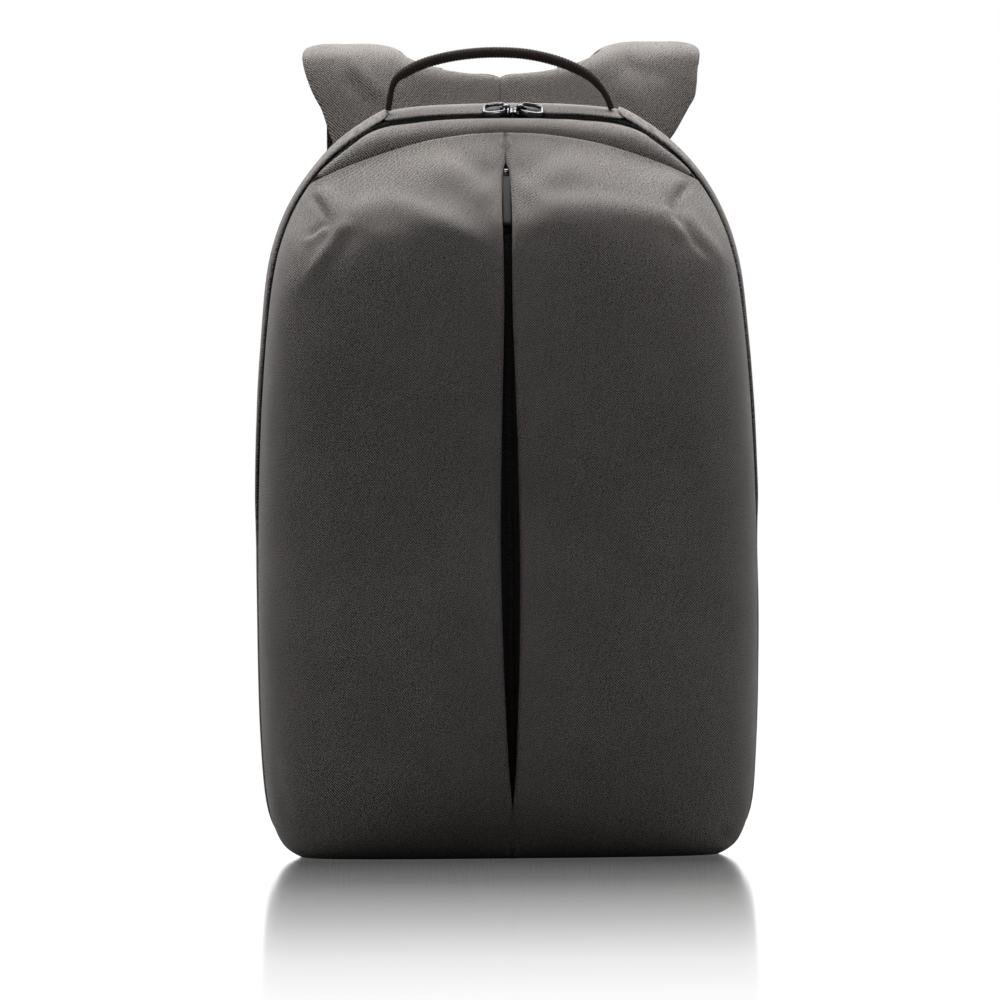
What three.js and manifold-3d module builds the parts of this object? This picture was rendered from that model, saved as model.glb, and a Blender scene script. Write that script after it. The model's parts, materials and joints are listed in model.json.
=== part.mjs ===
// A laptop backpack that stands upright, with its carry handle and shoulder harness.
// Millimetres, +Z up. The front of the bag faces -Y and the wearer's back faces +Y.
import * as THREE from "three";
import { mergeVertices } from "three/addons/utils/BufferGeometryUtils.js";
import Module from "manifold-3d";

const wasm = await Module();
wasm.setup();

// Driving sizes of the bag
const bodyWidth = 310;
const bodyHeight = 462;
const frontDepth = 97; // from the side seam to the front of the belly
const rearDepth = 76; // from the side seam to the outer face of the back panel
const clothThickness = 2;
const seamGap = 0.35; // between two pieces that are sewn together
const rearTaper = 7; // how much the bag narrows from the side seam to the back
const gussetCrown = 7; // how far the rear gusset bulges at the top
const basePanelThickness = 3;
const backPanelThickness = 9;
const backPanelBevel = 2.5;
const backPanelLap = 1.5; // how far it stands out beyond the gusset's edge

// The pleat down the middle of the front, and the zip in it
const slitHalfWidth = 6;
const pleatEdgeRadius = 5;
const pleatEndRadius = 1; // where the pleat is sewn shut
const pleatDepth = 14; // of its turned-in lips
const pleatEndDepth = 7; // under the front zip's slider
const sewnDepth = 0.5;
const pleatInnerHalfWidth = 5.4;
const seamPull = 5; // how far the sewn ends of the pleat are drawn in
const seamPullWidth = 26;
const frontZipTapeWidth = 24;
const zipTapeThickness = 1.2;
const frontZipChainWidth = 5;
const frontZipChainHeight = 1.6;

// The main zip, which runs over the top and half way down both sides
const mainZipWidth = 8;
const mainZipRecess = 1.2;
const mainZipChainWidth = 4.6;
const mainZipChainHeight = 1.5;
const mainZipEndHeight = 208;
const zipEndTaper = 22; // how far below its end the opening for the zip starts
const zipEndMargin = 4; // room below the zip's end
const topZipForward = 14; // how far the zip lies in front of the side seam at the top
const rollHeight = 6.5; // of the rolled lip in front of it, from its middle line
const topZipTilt = THREE.MathUtils.degToRad(40); // how far it leans forward there

// Sliders, and the pulls on them
const sliderLength = 8;
const sliderWidth = 6.4;
const sliderHeight = 2.4;
const sliderBridgeInner = 1.6;
const sliderBridgeBar = 1;
const sliderBridgeWidth = 2;
const pullLength = 15;
const pullWidth = 11;
const pullThickness = 3;
const pullPinRadius = 0.9;
const pullMeetX = 5.5; // the two sliders meet a little right of the middle
const pullDroop = THREE.MathUtils.degToRad(7);
const frontPullLength = 25;
const frontPullWidth = 4;
const frontPullThickness = 1.4;

// Carry handle
const handleHalfSpan = 66.5;
const handleRise = 35.5;
const handleGripRadius = 3.3;
const handleEndRadius = 1.9;
const topGussetHalfSpan = 72; // the handle goes in where the side gussets lap over the top one

// Shoulder harness
const strapThickness = 10;
const strapLiningThickness = 1.2;
const harnessRise = 40.5; // from the crest of the ledge to the top of the fold
const strapDrop = 272; // from the crest of the ledge to the strap's lower end
const strapFoldDepth = 28; // from the front run of the strap to its rear run
const strapBow = 14; // how far the strap stands further out half way down

// Webbing below the straps
const webbingWidth = 24;
const webbingThickness = 1.5;
const adjusterWidth = 34;
const adjusterHeight = 27;
const adjusterGap = 9; // from the strap's end to the adjuster
const adjusterThickness = 3.2;
const adjusterBar = 4;
const barClearance = 1.4; // between a bar and the webbing round it
const webbingTail = 95;
const anchorHeight = 30;
const anchorTabHeight = 34;

const cloth = { color: 0x4b4845, roughness: 0.92, metalness: 0 };
const darkCloth = { color: 0x141414, roughness: 0.85, metalness: 0 };
const blackTape = { color: 0x0b0b0c, roughness: 0.8, metalness: 0 };
const gunmetal = { color: 0x33353a, roughness: 0.25, metalness: 0.9 };
const blackPlastic = { color: 0x101112, roughness: 0.45, metalness: 0 };
const brownRope = { color: 0x1d1714, roughness: 0.8, metalness: 0 };

const halfWidth = bodyWidth / 2;
const depthAxis = new THREE.Vector3(0, 1, 0);
const vec = (x, y, z) => new THREE.Vector3(x, y, z);
const lerp = THREE.MathUtils.lerp;

// The side seam from the middle of the top down to the floor. across is a share of half the
// body's width, up of its height, forward of how far the top zip lies forward, tilt of the
// zip's lean at the top, and crown of how far the rear gusset bulges there.
const rimRows = [
  { across: 0.0, up: 0.985, forward: 1.0, tilt: 1.0, crown: 1.0 },
  { across: 0.31, up: 0.982, forward: 0.95, tilt: 0.95, crown: 1.0 },
  { across: 0.505, up: 0.972, forward: 0.75, tilt: 0.8, crown: 1.0 },
  { across: 0.635, up: 0.942, forward: 0.4, tilt: 0.5, crown: 0.95 },
  { across: 0.752, up: 0.903, forward: 0.1, tilt: 0.25, crown: 0.9 },
  { across: 0.85, up: 0.85, forward: 0.0, tilt: 0.1, crown: 0.85 },
  { across: 0.915, up: 0.78, forward: 0.0, tilt: 0.0, crown: 0.75 },
  { across: 0.955, up: 0.67, forward: 0.0, tilt: 0.0, crown: 0.6 },
  { across: 0.98, up: 0.53, forward: 0.0, tilt: 0.0, crown: 0.45 },
  { across: 0.99, up: 0.37, forward: 0.0, tilt: 0.0, crown: 0.25 },
  { across: 0.985, up: 0.2, forward: 0.0, tilt: 0.0, crown: 0.2 },
  { across: 0.968, up: 0.095, forward: 0.0, tilt: 0.0, crown: 0.15 },
  { across: 0.938, up: 0.043, forward: 0.0, tilt: 0.0, crown: 0.1 },
  { across: 0.89, up: 0.012, forward: 0.0, tilt: 0.0, crown: 0.0 },
  { across: 0.825, up: 0.0, forward: 0.0, tilt: 0.0, crown: 0.0 },
];

// The front panels from the floor to their top edge. out is the belly in front of the side seam
// as a share of the front depth, up and side the heights at the pleat and at the side seam as
// shares of the body's height, square how boxy the section is, gap the pleat's opening as a
// share of its half width, and pull how far its sewn ends are drawn in.
const panelRows = [
  { out: 0.66, up: 0.0, side: 0.0, square: 3.4, gap: 0.0, pull: 1.2 },
  { out: 0.82, up: 0.016, side: 0.01, square: 3.3, gap: 0.0, pull: 1.3 },
  { out: 0.925, up: 0.055, side: 0.045, square: 3.2, gap: 0.0, pull: 1.1 },
  { out: 0.972, up: 0.12, side: 0.11, square: 3.1, gap: 0.36, pull: 0.4 },
  { out: 0.99, up: 0.23, side: 0.22, square: 3.1, gap: 0.72, pull: 0.0 },
  { out: 1.0, up: 0.36, side: 0.35, square: 3.1, gap: 0.98, pull: 0.0 },
  { out: 1.0, up: 0.49, side: 0.48, square: 3.1, gap: 0.93, pull: 0.0 },
  { out: 0.99, up: 0.61, side: 0.595, square: 3.1, gap: 0.68, pull: 0.0 },
  { out: 0.975, up: 0.715, side: 0.69, square: 3.05, gap: 0.44, pull: 0.0 },
  { out: 0.945, up: 0.79, side: 0.755, square: 3.0, gap: 0.42, pull: 0.1 },
  { out: 0.885, up: 0.837, side: 0.8, square: 2.8, gap: 0.5, pull: 0.4 },
  { out: 0.745, up: 0.875, side: 0.833, square: 2.6, gap: 0.48, pull: 0.8 },
  { out: 0.57, up: 0.912, side: 0.863, square: 2.3, gap: 0.3, pull: 1.0 },
  { out: 0.42, up: 0.943, side: 0.882, square: 2.1, gap: 0.0, pull: 0.5 },
  { out: 0.35, up: 0.96, side: 0.896, square: 2.0, gap: 0.0, pull: 0.2 },
];

// Main folds of the front panels: a ridge or dent along the line from one point to the other.
// x is a share of half the body's width, z of its height, depth (outward) and reach of the
// front depth.
const foldRows = [
  { x0: -0.83, z0: 0.86, x1: -0.7, z1: 0.822, depth: -0.06, reach: 0.11 },
  { x0: -0.72, z0: 0.835, x1: -0.9, z1: 0.72, depth: 0.045, reach: 0.12 },
  { x0: -0.62, z0: 0.845, x1: -0.25, z1: 0.82, depth: 0.05, reach: 0.22 },
  { x0: -0.55, z0: 0.895, x1: -0.1, z1: 0.925, depth: 0.03, reach: 0.16 },
  { x0: 0.81, z0: 0.873, x1: 0.74, z1: 0.828, depth: -0.06, reach: 0.11 },
  { x0: 0.73, z0: 0.842, x1: 0.84, z1: 0.765, depth: 0.05, reach: 0.12 },
  { x0: 0.66, z0: 0.85, x1: 0.2, z1: 0.842, depth: 0.05, reach: 0.22 },
  { x0: 0.6, z0: 0.885, x1: 0.12, z1: 0.915, depth: 0.03, reach: 0.16 },
  { x0: 0.83, z0: 0.035, x1: 0.9, z1: 0.012, depth: -0.07, reach: 0.09 },
  { x0: -0.5, z0: 0.35, x1: -0.46, z1: 0.12, depth: 0.04, reach: 0.5 },
  { x0: 0.5, z0: 0.35, x1: 0.46, z1: 0.12, depth: 0.04, reach: 0.5 },
];

// The harness from its root on the back panel over the fold to the strap's lower end. inner and
// outer are the two edges as shares of half the body's width. A rise is a share of the harness
// rise when it is over zero, and of the strap drop when it is under. back is a share of the
// fold's depth, and bow of the strap's bow.
const strapRows = [
  { inner: 0.003, innerRise: -0.165, outer: 0.63, outerRise: -0.195, back: 0.0, bow: 0, tuck: 0.05 },
  { inner: 0.003, innerRise: -0.1, outer: 0.665, outerRise: -0.13, back: 0.0, bow: 0, tuck: 0.05 },
  { inner: 0.003, innerRise: -0.03, outer: 0.7, outerRise: -0.07, back: -0.02, bow: 0, tuck: 0.015 },
  { inner: 0.003, innerRise: 0.42, outer: 0.755, outerRise: 0.02, back: -0.1, bow: 0, tuck: -0.025 },
  { inner: 0.14, innerRise: 0.52, outer: 0.795, outerRise: 0.3, back: -0.12, bow: 0, tuck: -0.01 },
  { inner: 0.275, innerRise: 0.6, outer: 0.813, outerRise: 0.58, back: -0.08, bow: 0, tuck: 0.005 },
  { inner: 0.375, innerRise: 0.75, outer: 0.818, outerRise: 0.78, back: 0.06, bow: 0, tuck: 0 },
  { inner: 0.42, innerRise: 0.875, outer: 0.808, outerRise: 0.885, back: 0.5, bow: 0, tuck: 0 },
  { inner: 0.36, innerRise: 0.72, outer: 0.78, outerRise: 0.74, back: 0.93, bow: 0, tuck: 0.03 },
  { inner: 0.325, innerRise: 0.3, outer: 0.74, outerRise: 0.3, back: 1.06, bow: 0.05, tuck: 0.07 },
  { inner: 0.315, innerRise: -0.12, outer: 0.73, outerRise: -0.12, back: 1.0, bow: 0.4, tuck: 0.1 },
  { inner: 0.32, innerRise: -0.34, outer: 0.735, outerRise: -0.34, back: 1.0, bow: 0.8, tuck: 0.05 },
  { inner: 0.35, innerRise: -0.56, outer: 0.735, outerRise: -0.56, back: 1.0, bow: 1.0, tuck: 0.01 },
  { inner: 0.42, innerRise: -0.78, outer: 0.755, outerRise: -0.78, back: 1.0, bow: 0.85, tuck: 0 },
  { inner: 0.5, innerRise: -0.94, outer: 0.765, outerRise: -0.94, back: 1.0, bow: 0.5, tuck: 0 },
  { inner: 0.54, innerRise: -1.0, outer: 0.74, outerRise: -1.0, back: 1.0, bow: 0.35, tuck: 0 },
];

// The handle's line: x as a share of its half span, up of its rise above the zip, and thick
// from its thin ends (0) to its grip (1).
const handleRows = [
  { x: -1.07, up: 0.0, thick: 0 },
  { x: -1.055, up: 0.17, thick: 0 },
  { x: -1.035, up: 0.37, thick: 0 },
  { x: -1.0, up: 0.53, thick: 0.3 },
  { x: -0.92, up: 0.65, thick: 0.9 },
  { x: -0.76, up: 0.8, thick: 1 },
  { x: -0.53, up: 0.92, thick: 1 },
  { x: -0.28, up: 0.985, thick: 1 },
  { x: -0.05, up: 1.0, thick: 1 },
  { x: 0.2, up: 0.97, thick: 1 },
  { x: 0.45, up: 0.87, thick: 1 },
  { x: 0.66, up: 0.72, thick: 0.95 },
  { x: 0.81, up: 0.55, thick: 0.6 },
  { x: 0.91, up: 0.35, thick: 0.15 },
  { x: 0.97, up: 0.15, thick: 0 },
  { x: 1.0, up: 0.0, thick: 0 },
];

// A smooth line through one column of a table, read by a share from its first row to its last.
function column(rows, name, size = 1) {
  const line = new THREE.SplineCurve(rows.map((row, i) => new THREE.Vector2(i, row[name] * size)));
  return (share) => line.getPoint(share).y;
}

// The side seam of the whole bag, from the floor on the left over the top to the floor on the
// right.
class Rim extends THREE.Curve {
  constructor() {
    super();
    this.across = column(rimRows, "across", halfWidth);
    this.up = column(rimRows, "up", bodyHeight);
    this.forward = column(rimRows, "forward", topZipForward);
    this.tilt = column(rimRows, "tilt", topZipTilt);
    this.crown = column(rimRows, "crown", gussetCrown);
    this.arcLengthDivisions = 400;
  }

  getPoint(t, target = new THREE.Vector3()) {
    const share = Math.abs(2 * t - 1);
    const x = Math.sign(2 * t - 1) * this.across(share);
    return target.set(x, -this.forward(share), Math.max(this.up(share), 0));
  }

  shareAt(u) {
    return Math.abs(2 * this.getUtoTmapping(u) - 1);
  }

  // The direction that points out of the bag, square to the seam, and the one across the zip
  // towards the back.
  frameAt(u) {
    const tangent = this.getTangentAt(u).setY(0).normalize();
    const outward = tangent.clone().cross(depthAxis);
    const lean = Math.max(this.tilt(this.shareAt(u)), 0);
    const zipOut = outward.clone().applyAxisAngle(tangent, lean);
    const zipAcross = depthAxis.clone().applyAxisAngle(tangent, lean);
    return { outward, zipOut, zipAcross };
  }

  // The place of the seam, from 0 to 1, at a height on one side.
  placeAtHeight(z, side) {
    let low = 0;
    let high = 0.5;
    for (let i = 0; i < 40; i++) {
      const middle = (low + high) / 2;
      if (this.getPointAt(middle).z < z) low = middle;
      else high = middle;
    }
    return side < 0 ? low : 1 - low;
  }

  // The place of the seam at a distance to the side, near the top.
  placeAtAcross(x) {
    let low = 0.5;
    let high = 1;
    for (let i = 0; i < 40; i++) {
      const middle = (low + high) / 2;
      if (this.getPointAt(middle).x < Math.abs(x)) low = middle;
      else high = middle;
    }
    return x < 0 ? 1 - low : low;
  }
}

const rim = new Rim();

// Half the space between the front panels and the rear gusset, which holds the zip.
const zipSpaceStart = mainZipEndHeight - zipEndTaper;
const zipSpaceEnd = mainZipEndHeight - zipEndMargin;

function zipSpace(height) {
  const share = THREE.MathUtils.smoothstep(height, zipSpaceStart, zipSpaceEnd);
  return lerp(seamGap / 2, mainZipWidth / 2, share);
}

// A closed geometry from points and triangles, turned so that its faces point out.
function closedGeometry(points, triangles) {
  let volume = 0;
  for (const [a, b, c] of triangles) {
    volume += points[a].dot(points[b].clone().cross(points[c]));
  }
  const turned = volume < 0 ? triangles.map(([a, b, c]) => [a, c, b]) : triangles;
  const geometry = new THREE.BufferGeometry().setFromPoints(points);
  geometry.setIndex(turned.flat());
  return geometry;
}

// A sheet of cloth with the grid as its outer face, thickened towards its inside. side says
// which way the grid's normal points. Nothing goes below the floor.
function thickSheet(grid, thickness, side = 1) {
  const rows = grid.length;
  const columns = grid[0].length;
  const inner = grid.map((line, r) =>
    line.map((point, c) => {
      const alongRows = vec().subVectors(
        grid[Math.min(r + 1, rows - 1)][c],
        grid[Math.max(r - 1, 0)][c],
      );
      const alongLine = vec().subVectors(
        line[Math.min(c + 1, columns - 1)],
        line[Math.max(c - 1, 0)],
      );
      const normal = alongRows.cross(alongLine).normalize();
      const made = point.clone().addScaledVector(normal, -thickness * side);
      made.z = Math.max(made.z, 0);
      return made;
    }),
  );
  const points = [...grid.flat(), ...inner.flat()];
  const count = rows * columns;
  const at = (r, c) => r * columns + c;
  const triangles = [];
  const quad = (a, b, c, d) => triangles.push([a, b, c], [a, c, d]);
  for (let r = 0; r < rows - 1; r++) {
    for (let c = 0; c < columns - 1; c++) {
      quad(at(r, c), at(r + 1, c), at(r + 1, c + 1), at(r, c + 1));
      quad(count + at(r, c), count + at(r, c + 1), count + at(r + 1, c + 1), count + at(r + 1, c));
    }
  }
  for (let r = 0; r < rows - 1; r++) {
    const last = columns - 1;
    quad(at(r, 0), count + at(r, 0), count + at(r + 1, 0), at(r + 1, 0));
    quad(at(r, last), at(r + 1, last), count + at(r + 1, last), count + at(r, last));
  }
  for (let c = 0; c < columns - 1; c++) {
    const last = rows - 1;
    quad(at(0, c), at(0, c + 1), count + at(0, c + 1), count + at(0, c));
    quad(at(last, c), count + at(last, c), count + at(last, c + 1), at(last, c + 1));
  }
  return closedGeometry(points, triangles);
}

// A closed body through rings of points, with a flat fan at each end.
function loft(rings) {
  const size = rings[0].length;
  const points = rings.flat();
  const triangles = [];
  for (let r = 0; r < rings.length - 1; r++) {
    for (let i = 0; i < size; i++) {
      const a = r * size + i;
      const b = r * size + ((i + 1) % size);
      triangles.push([a, b, b + size], [a, b + size, a + size]);
    }
  }
  const ends = [
    [0, 1],
    [(rings.length - 1) * size, -1],
  ];
  for (const [start, turn] of ends) {
    const centre = vec(0, 0, 0);
    for (let i = 0; i < size; i++) centre.addScaledVector(points[start + i], 1 / size);
    const middle = points.push(centre) - 1;
    for (let i = 0; i < size; i++) {
      const a = start + i;
      const b = start + ((i + 1) % size);
      triangles.push(turn > 0 ? [middle, b, a] : [middle, a, b]);
    }
  }
  return closedGeometry(points, triangles);
}

// A rectangle section around a point, with its width along one direction and its height along
// another.
function rectangle(centre, across, up, width, height) {
  return [
    [-1, -1],
    [1, -1],
    [1, 1],
    [-1, 1],
  ].map(([a, b]) =>
    centre.clone().addScaledVector(across, (a * width) / 2).addScaledVector(up, (b * height) / 2),
  );
}

function mesh(name, geometry, look) {
  const shaded = geometry.clone();
  shaded.computeVertexNormals();
  const made = new THREE.Mesh(shaded, new THREE.MeshStandardMaterial(look));
  made.name = name;
  return made;
}

// Joins and cuts with manifold-3d.
function toSolid(geometry) {
  const bare = geometry.clone();
  bare.deleteAttribute("normal");
  bare.deleteAttribute("uv");
  const merged = mergeVertices(bare, 1e-4);
  return new wasm.Manifold(
    new wasm.Mesh({
      numProp: 3,
      vertProperties: merged.attributes.position.array,
      triVerts: new Uint32Array(merged.index.array),
    }),
  );
}

function fromSolid(solid) {
  const made = solid.getMesh();
  const geometry = new THREE.BufferGeometry();
  geometry.setAttribute("position", new THREE.BufferAttribute(made.vertProperties, 3));
  geometry.setIndex(new THREE.BufferAttribute(made.triVerts, 1));
  return geometry;
}

// How far the folds stand out at a place on the front, faded towards the side seam.
function foldHeight(x, z) {
  let height = 0;
  for (const fold of foldRows) {
    const start = new THREE.Vector2(fold.x0 * halfWidth, fold.z0 * bodyHeight);
    const run = new THREE.Vector2(fold.x1 * halfWidth, fold.z1 * bodyHeight).sub(start);
    const offset = new THREE.Vector2(x, z).sub(start);
    const along = THREE.MathUtils.clamp(offset.dot(run) / run.lengthSq(), 0, 1);
    const away = offset.addScaledVector(run, -along).length() / (fold.reach * frontDepth);
    height += fold.depth * frontDepth * Math.exp(-away * away * 2);
  }
  return height;
}

const panelOut = column(panelRows, "out", frontDepth);
const panelUp = column(panelRows, "up", bodyHeight);
const panelSide = column(panelRows, "side", bodyHeight);
const panelSquare = column(panelRows, "square");
const panelGap = column(panelRows, "gap", slitHalfWidth);
const panelPull = column(panelRows, "pull", seamPull);

// The belly of a front panel at a height share v and at q, from the middle (0) to the side
// seam (1). The opening's edge is its zero.
function panelPoint(v, q, side) {
  const gap = Math.max(panelGap(v), seamGap / 2);
  const place = rim.placeAtHeight(Math.max(panelSide(v), 0), side);
  const edge = rim.getPointAt(place);
  const edgeY = edge.y - zipSpace(edge.z);
  const square = panelSquare(v);
  const bulge = Math.pow(Math.max(1 - Math.pow(q, square), 0), 1 / square);
  const x = side * gap + (edge.x - side * gap) * q;
  const z = edge.z + (Math.max(panelUp(v), 0) - edge.z) * (1 - q * q);
  const pull = panelPull(v) * Math.exp(-Math.pow((x - side * gap) / seamPullWidth, 2) * 2);
  const lift = THREE.MathUtils.smoothstep(z, 2, 16);
  const fold = foldHeight(x, z) * Math.sqrt(bulge) * lift;
  const y = edgeY - (panelOut(v) + edgeY) * bulge + pull * lift - fold;
  return vec(x, y, z);
}

// How far the pleat's lip reaches behind its round edge, and how round that edge is.
function pleatDepthAt(v) {
  const deep = THREE.MathUtils.smoothstep(v, 0.05, 0.3) * (1 - THREE.MathUtils.smoothstep(v, 0.6, 0.85));
  const sewn = THREE.MathUtils.smoothstep(v, 0, 0.12) * (1 - THREE.MathUtils.smoothstep(v, 0.89, 0.97));
  return lerp(sewnDepth, lerp(pleatEndDepth, pleatDepth, deep), sewn);
}

function pleatRadiusAt(v) {
  const open = THREE.MathUtils.clamp((panelGap(v) / slitHalfWidth) * 2.5, 0, 1);
  return lerp(pleatEndRadius, pleatEdgeRadius, open);
}

// Even shares from 0 to 1, with each of the given places among them.
function sharesWith(count, places) {
  const shares = [];
  for (let i = 0; i <= count; i++) shares.push(i / count);
  for (const place of places) {
    if (shares.every((share) => Math.abs(share - place) > 0.3 / count)) shares.push(place);
  }
  return shares.sort((a, b) => a - b);
}

// The share of the panel's rows at which its side seam has a height.
function panelShareAt(height) {
  let low = 0;
  let high = 1;
  for (let i = 0; i < 30; i++) {
    const middle = (low + high) / 2;
    if (panelSide(middle) < height) low = middle;
    else high = middle;
  }
  return low;
}

// One front panel: the pleat's turned-in lip, its round edge, the belly and the side wall.
function frontPanel(side) {
  const sideAngles = [0, 11, 23, 35, 47, 58].map(THREE.MathUtils.degToRad);
  const edgeAngles = [35, 65, 90].map(THREE.MathUtils.degToRad);
  const faceCount = 4;
  const grid = [];
  for (const v of sharesWith(25, [zipSpaceStart, zipSpaceEnd].map(panelShareAt))) {
    const square = panelSquare(v);
    const gap = Math.max(panelGap(v), seamGap / 2);
    const radius = pleatRadiusAt(v);
    const edgeShare = radius / (Math.abs(panelPoint(v, 1, side).x) - gap);
    const reach = (angle) => Math.pow(Math.cos(angle), 2 / square);
    const shoulder = reach(sideAngles[sideAngles.length - 1]);
    const line = sideAngles.map((angle) => panelPoint(v, reach(angle), side));
    for (let i = 1; i <= faceCount; i++) {
      line.push(panelPoint(v, lerp(shoulder, edgeShare * 1.6, i / faceCount), side));
    }
    for (const angle of edgeAngles) {
      const point = panelPoint(v, edgeShare * (1 - Math.sin(angle)), side);
      point.y += radius * (1 - Math.cos(angle));
      line.push(point);
    }
    const lip = line[line.length - 1];
    const opened = side * Math.max(gap, pleatInnerHalfWidth);
    const spread = THREE.MathUtils.clamp((pleatDepthAt(v) - sewnDepth) / 4, 0, 1);
    for (const share of [0.3, 1]) {
      line.push(vec(lerp(lip.x, opened, spread), lip.y + pleatDepthAt(v) * share, lip.z));
    }
    grid.push(line);
  }
  return thickSheet(grid, clothThickness, side);
}

// The surface of the rear gusset at a place u along the seam and t from the zip to the back.
const gussetRaise = 1.2; // how far the side gussets stand over the top one
const gussetRaiseLength = 0.02;
const topGussetStart = rim.placeAtAcross(-topGussetHalfSpan);
const topGussetEnd = rim.placeAtAcross(topGussetHalfSpan);

function gussetPoint(u, t) {
  const seam = rim.getPointAt(u);
  const { outward, zipAcross } = rim.frameAt(u);
  const start = seam.clone().addScaledVector(zipAcross, zipSpace(seam.z));
  const rear = vec(
    seam.x * (1 - rearTaper / halfWidth),
    rearDepth - backPanelThickness - seamGap,
    seam.z * (1 - rearTaper / bodyHeight),
  );
  const bulge = Math.max(rim.crown(rim.shareAt(u)), 0) * Math.pow(Math.sin(Math.PI * t), 0.7);
  return start.lerp(rear, t).addScaledVector(outward, bulge);
}

function gusset(from, to, count, raise) {
  const acrossShares = [0, 0.1, 0.3, 0.55, 0.8, 0.94, 1];
  const zipPlaces = [];
  for (const side of [-1, 1]) {
    for (const height of [zipSpaceStart, zipSpaceEnd]) {
      zipPlaces.push((rim.placeAtHeight(height, side) - from) / (to - from));
    }
  }
  const grid = [];
  for (const share of sharesWith(count, zipPlaces.filter((place) => place > 0 && place < 1))) {
    const u = lerp(from, to, share);
    const distance = Math.min(Math.abs(u - topGussetStart), Math.abs(u - topGussetEnd));
    const raised = raise * Math.max(0, 1 - distance / gussetRaiseLength);
    const { outward } = rim.frameAt(u);
    grid.push(acrossShares.map((t) => gussetPoint(u, t).addScaledVector(outward, raised)));
  }
  return thickSheet(grid, clothThickness, -1);
}

// The rolled front lip of the zip, from one upper corner of the front panels to the other.
const panelCornerPlace = rim.placeAtHeight(panelSide(1), 1);

function topRoll() {
  const stations = 24;
  const sides = 8;
  const startPlace = 1 - panelCornerPlace;
  const rings = [];
  for (let i = 0; i <= stations; i++) {
    const share = lerp(0.03, 0.97, i / stations);
    const u = lerp(startPlace, panelCornerPlace, share);
    const zipEdge = rim.getPointAt(u).addScaledVector(rim.frameAt(u).zipAcross, -mainZipWidth / 2);
    const side = Math.sign(zipEdge.x) || 1;
    const corner = Math.abs(panelPoint(1, 1, side).x);
    const panelEdge = panelPoint(1, Math.min(Math.abs(zipEdge.x) / corner, 1), side);
    const middle = zipEdge.clone().add(panelEdge).multiplyScalar(0.5);
    const across = vec().subVectors(zipEdge, panelEdge);
    const reach = across.length() / 2 - seamGap * 3;
    across.normalize();
    const outward = rim.getTangentAt(u).cross(across).normalize();
    const height = Math.min(rollHeight, reach * 0.8);
    middle.addScaledVector(outward, -height * 0.4);
    const ring = [];
    for (let k = 0; k < sides; k++) {
      const angle = (2 * Math.PI * k) / sides;
      ring.push(
        middle
          .clone()
          .addScaledVector(across, reach * Math.cos(angle))
          .addScaledVector(outward, height * Math.sin(angle)),
      );
    }
    rings.push(ring);
  }
  return loft(rings);
}

// A band along the side seam: the zip's tape or its chain.
function seamBand(width, height, sink, count) {
  const from = rim.placeAtHeight(mainZipEndHeight, -1);
  const to = rim.placeAtHeight(mainZipEndHeight, 1);
  const rings = [];
  for (let i = 0; i <= count; i++) {
    const u = lerp(from, to, i / count);
    const { zipOut, zipAcross } = rim.frameAt(u);
    const centre = rim.getPointAt(u).addScaledVector(zipOut, -sink - height / 2);
    rings.push(rectangle(centre, zipAcross, zipOut, width, height));
  }
  return loft(rings);
}

// The line at the bottom of the pleat, which the front zip follows.
function pleatFloor(v) {
  const lip = panelPoint(v, 0, 1);
  return vec(0, lip.y + pleatRadiusAt(v) + pleatDepthAt(v) + seamGap * 2, lip.z);
}

const frontZipBottom = 0.17;
const frontZipTop = 0.88;
const frontSliderPlace = 0.825;

function frontZipBand(width, height, forward, from, to, count) {
  const rings = [];
  for (let i = 0; i <= count; i++) {
    const v = lerp(from, to, i / count);
    const step = vec().subVectors(pleatFloor(v + 0.01), pleatFloor(v - 0.01)).normalize();
    const inward = vec(0, step.z, -step.y);
    const centre = pleatFloor(v).addScaledVector(inward, height / 2 - forward);
    rings.push(rectangle(centre, vec(1, 0, 0), inward, width, height));
  }
  return loft(rings);
}

// A slider: a block with a bridge over it. Its length lies along X and its pin hole along Y.
const bridgeRise = pullThickness / 2 + 0.6;

function sliderGeometry() {
  const block = new THREE.Shape();
  const nose = sliderWidth * 0.28;
  block.moveTo(-sliderLength / 2, -sliderWidth / 2 + nose);
  block.lineTo(-sliderLength / 2 + nose, -sliderWidth / 2);
  block.lineTo(sliderLength / 2, -sliderWidth / 2);
  block.lineTo(sliderLength / 2, sliderWidth / 2);
  block.lineTo(-sliderLength / 2 + nose, sliderWidth / 2);
  block.lineTo(-sliderLength / 2, sliderWidth / 2 - nose);
  const body = new THREE.ExtrudeGeometry(block, { depth: sliderHeight, bevelEnabled: false });

  const outer = sliderBridgeInner + sliderBridgeBar;
  const bridge = new THREE.Shape();
  bridge.moveTo(outer, -bridgeRise - sliderHeight / 2);
  bridge.lineTo(outer, 0);
  bridge.absarc(0, 0, outer, 0, Math.PI, false);
  bridge.lineTo(-outer, -bridgeRise - sliderHeight / 2);
  const hole = new THREE.Path();
  hole.moveTo(sliderBridgeInner, -bridgeRise + 0.1);
  hole.lineTo(sliderBridgeInner, 0);
  hole.absarc(0, 0, sliderBridgeInner, 0, Math.PI, false);
  hole.lineTo(-sliderBridgeInner, -bridgeRise + 0.1);
  bridge.holes.push(hole);
  const arch = new THREE.ExtrudeGeometry(bridge, {
    depth: sliderBridgeWidth,
    bevelEnabled: false,
    curveSegments: 6,
  });
  arch.rotateX(Math.PI / 2);
  arch.translate(0, sliderBridgeWidth / 2, sliderHeight + bridgeRise);
  return fromSolid(toSolid(body).add(toSolid(arch)));
}

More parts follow.
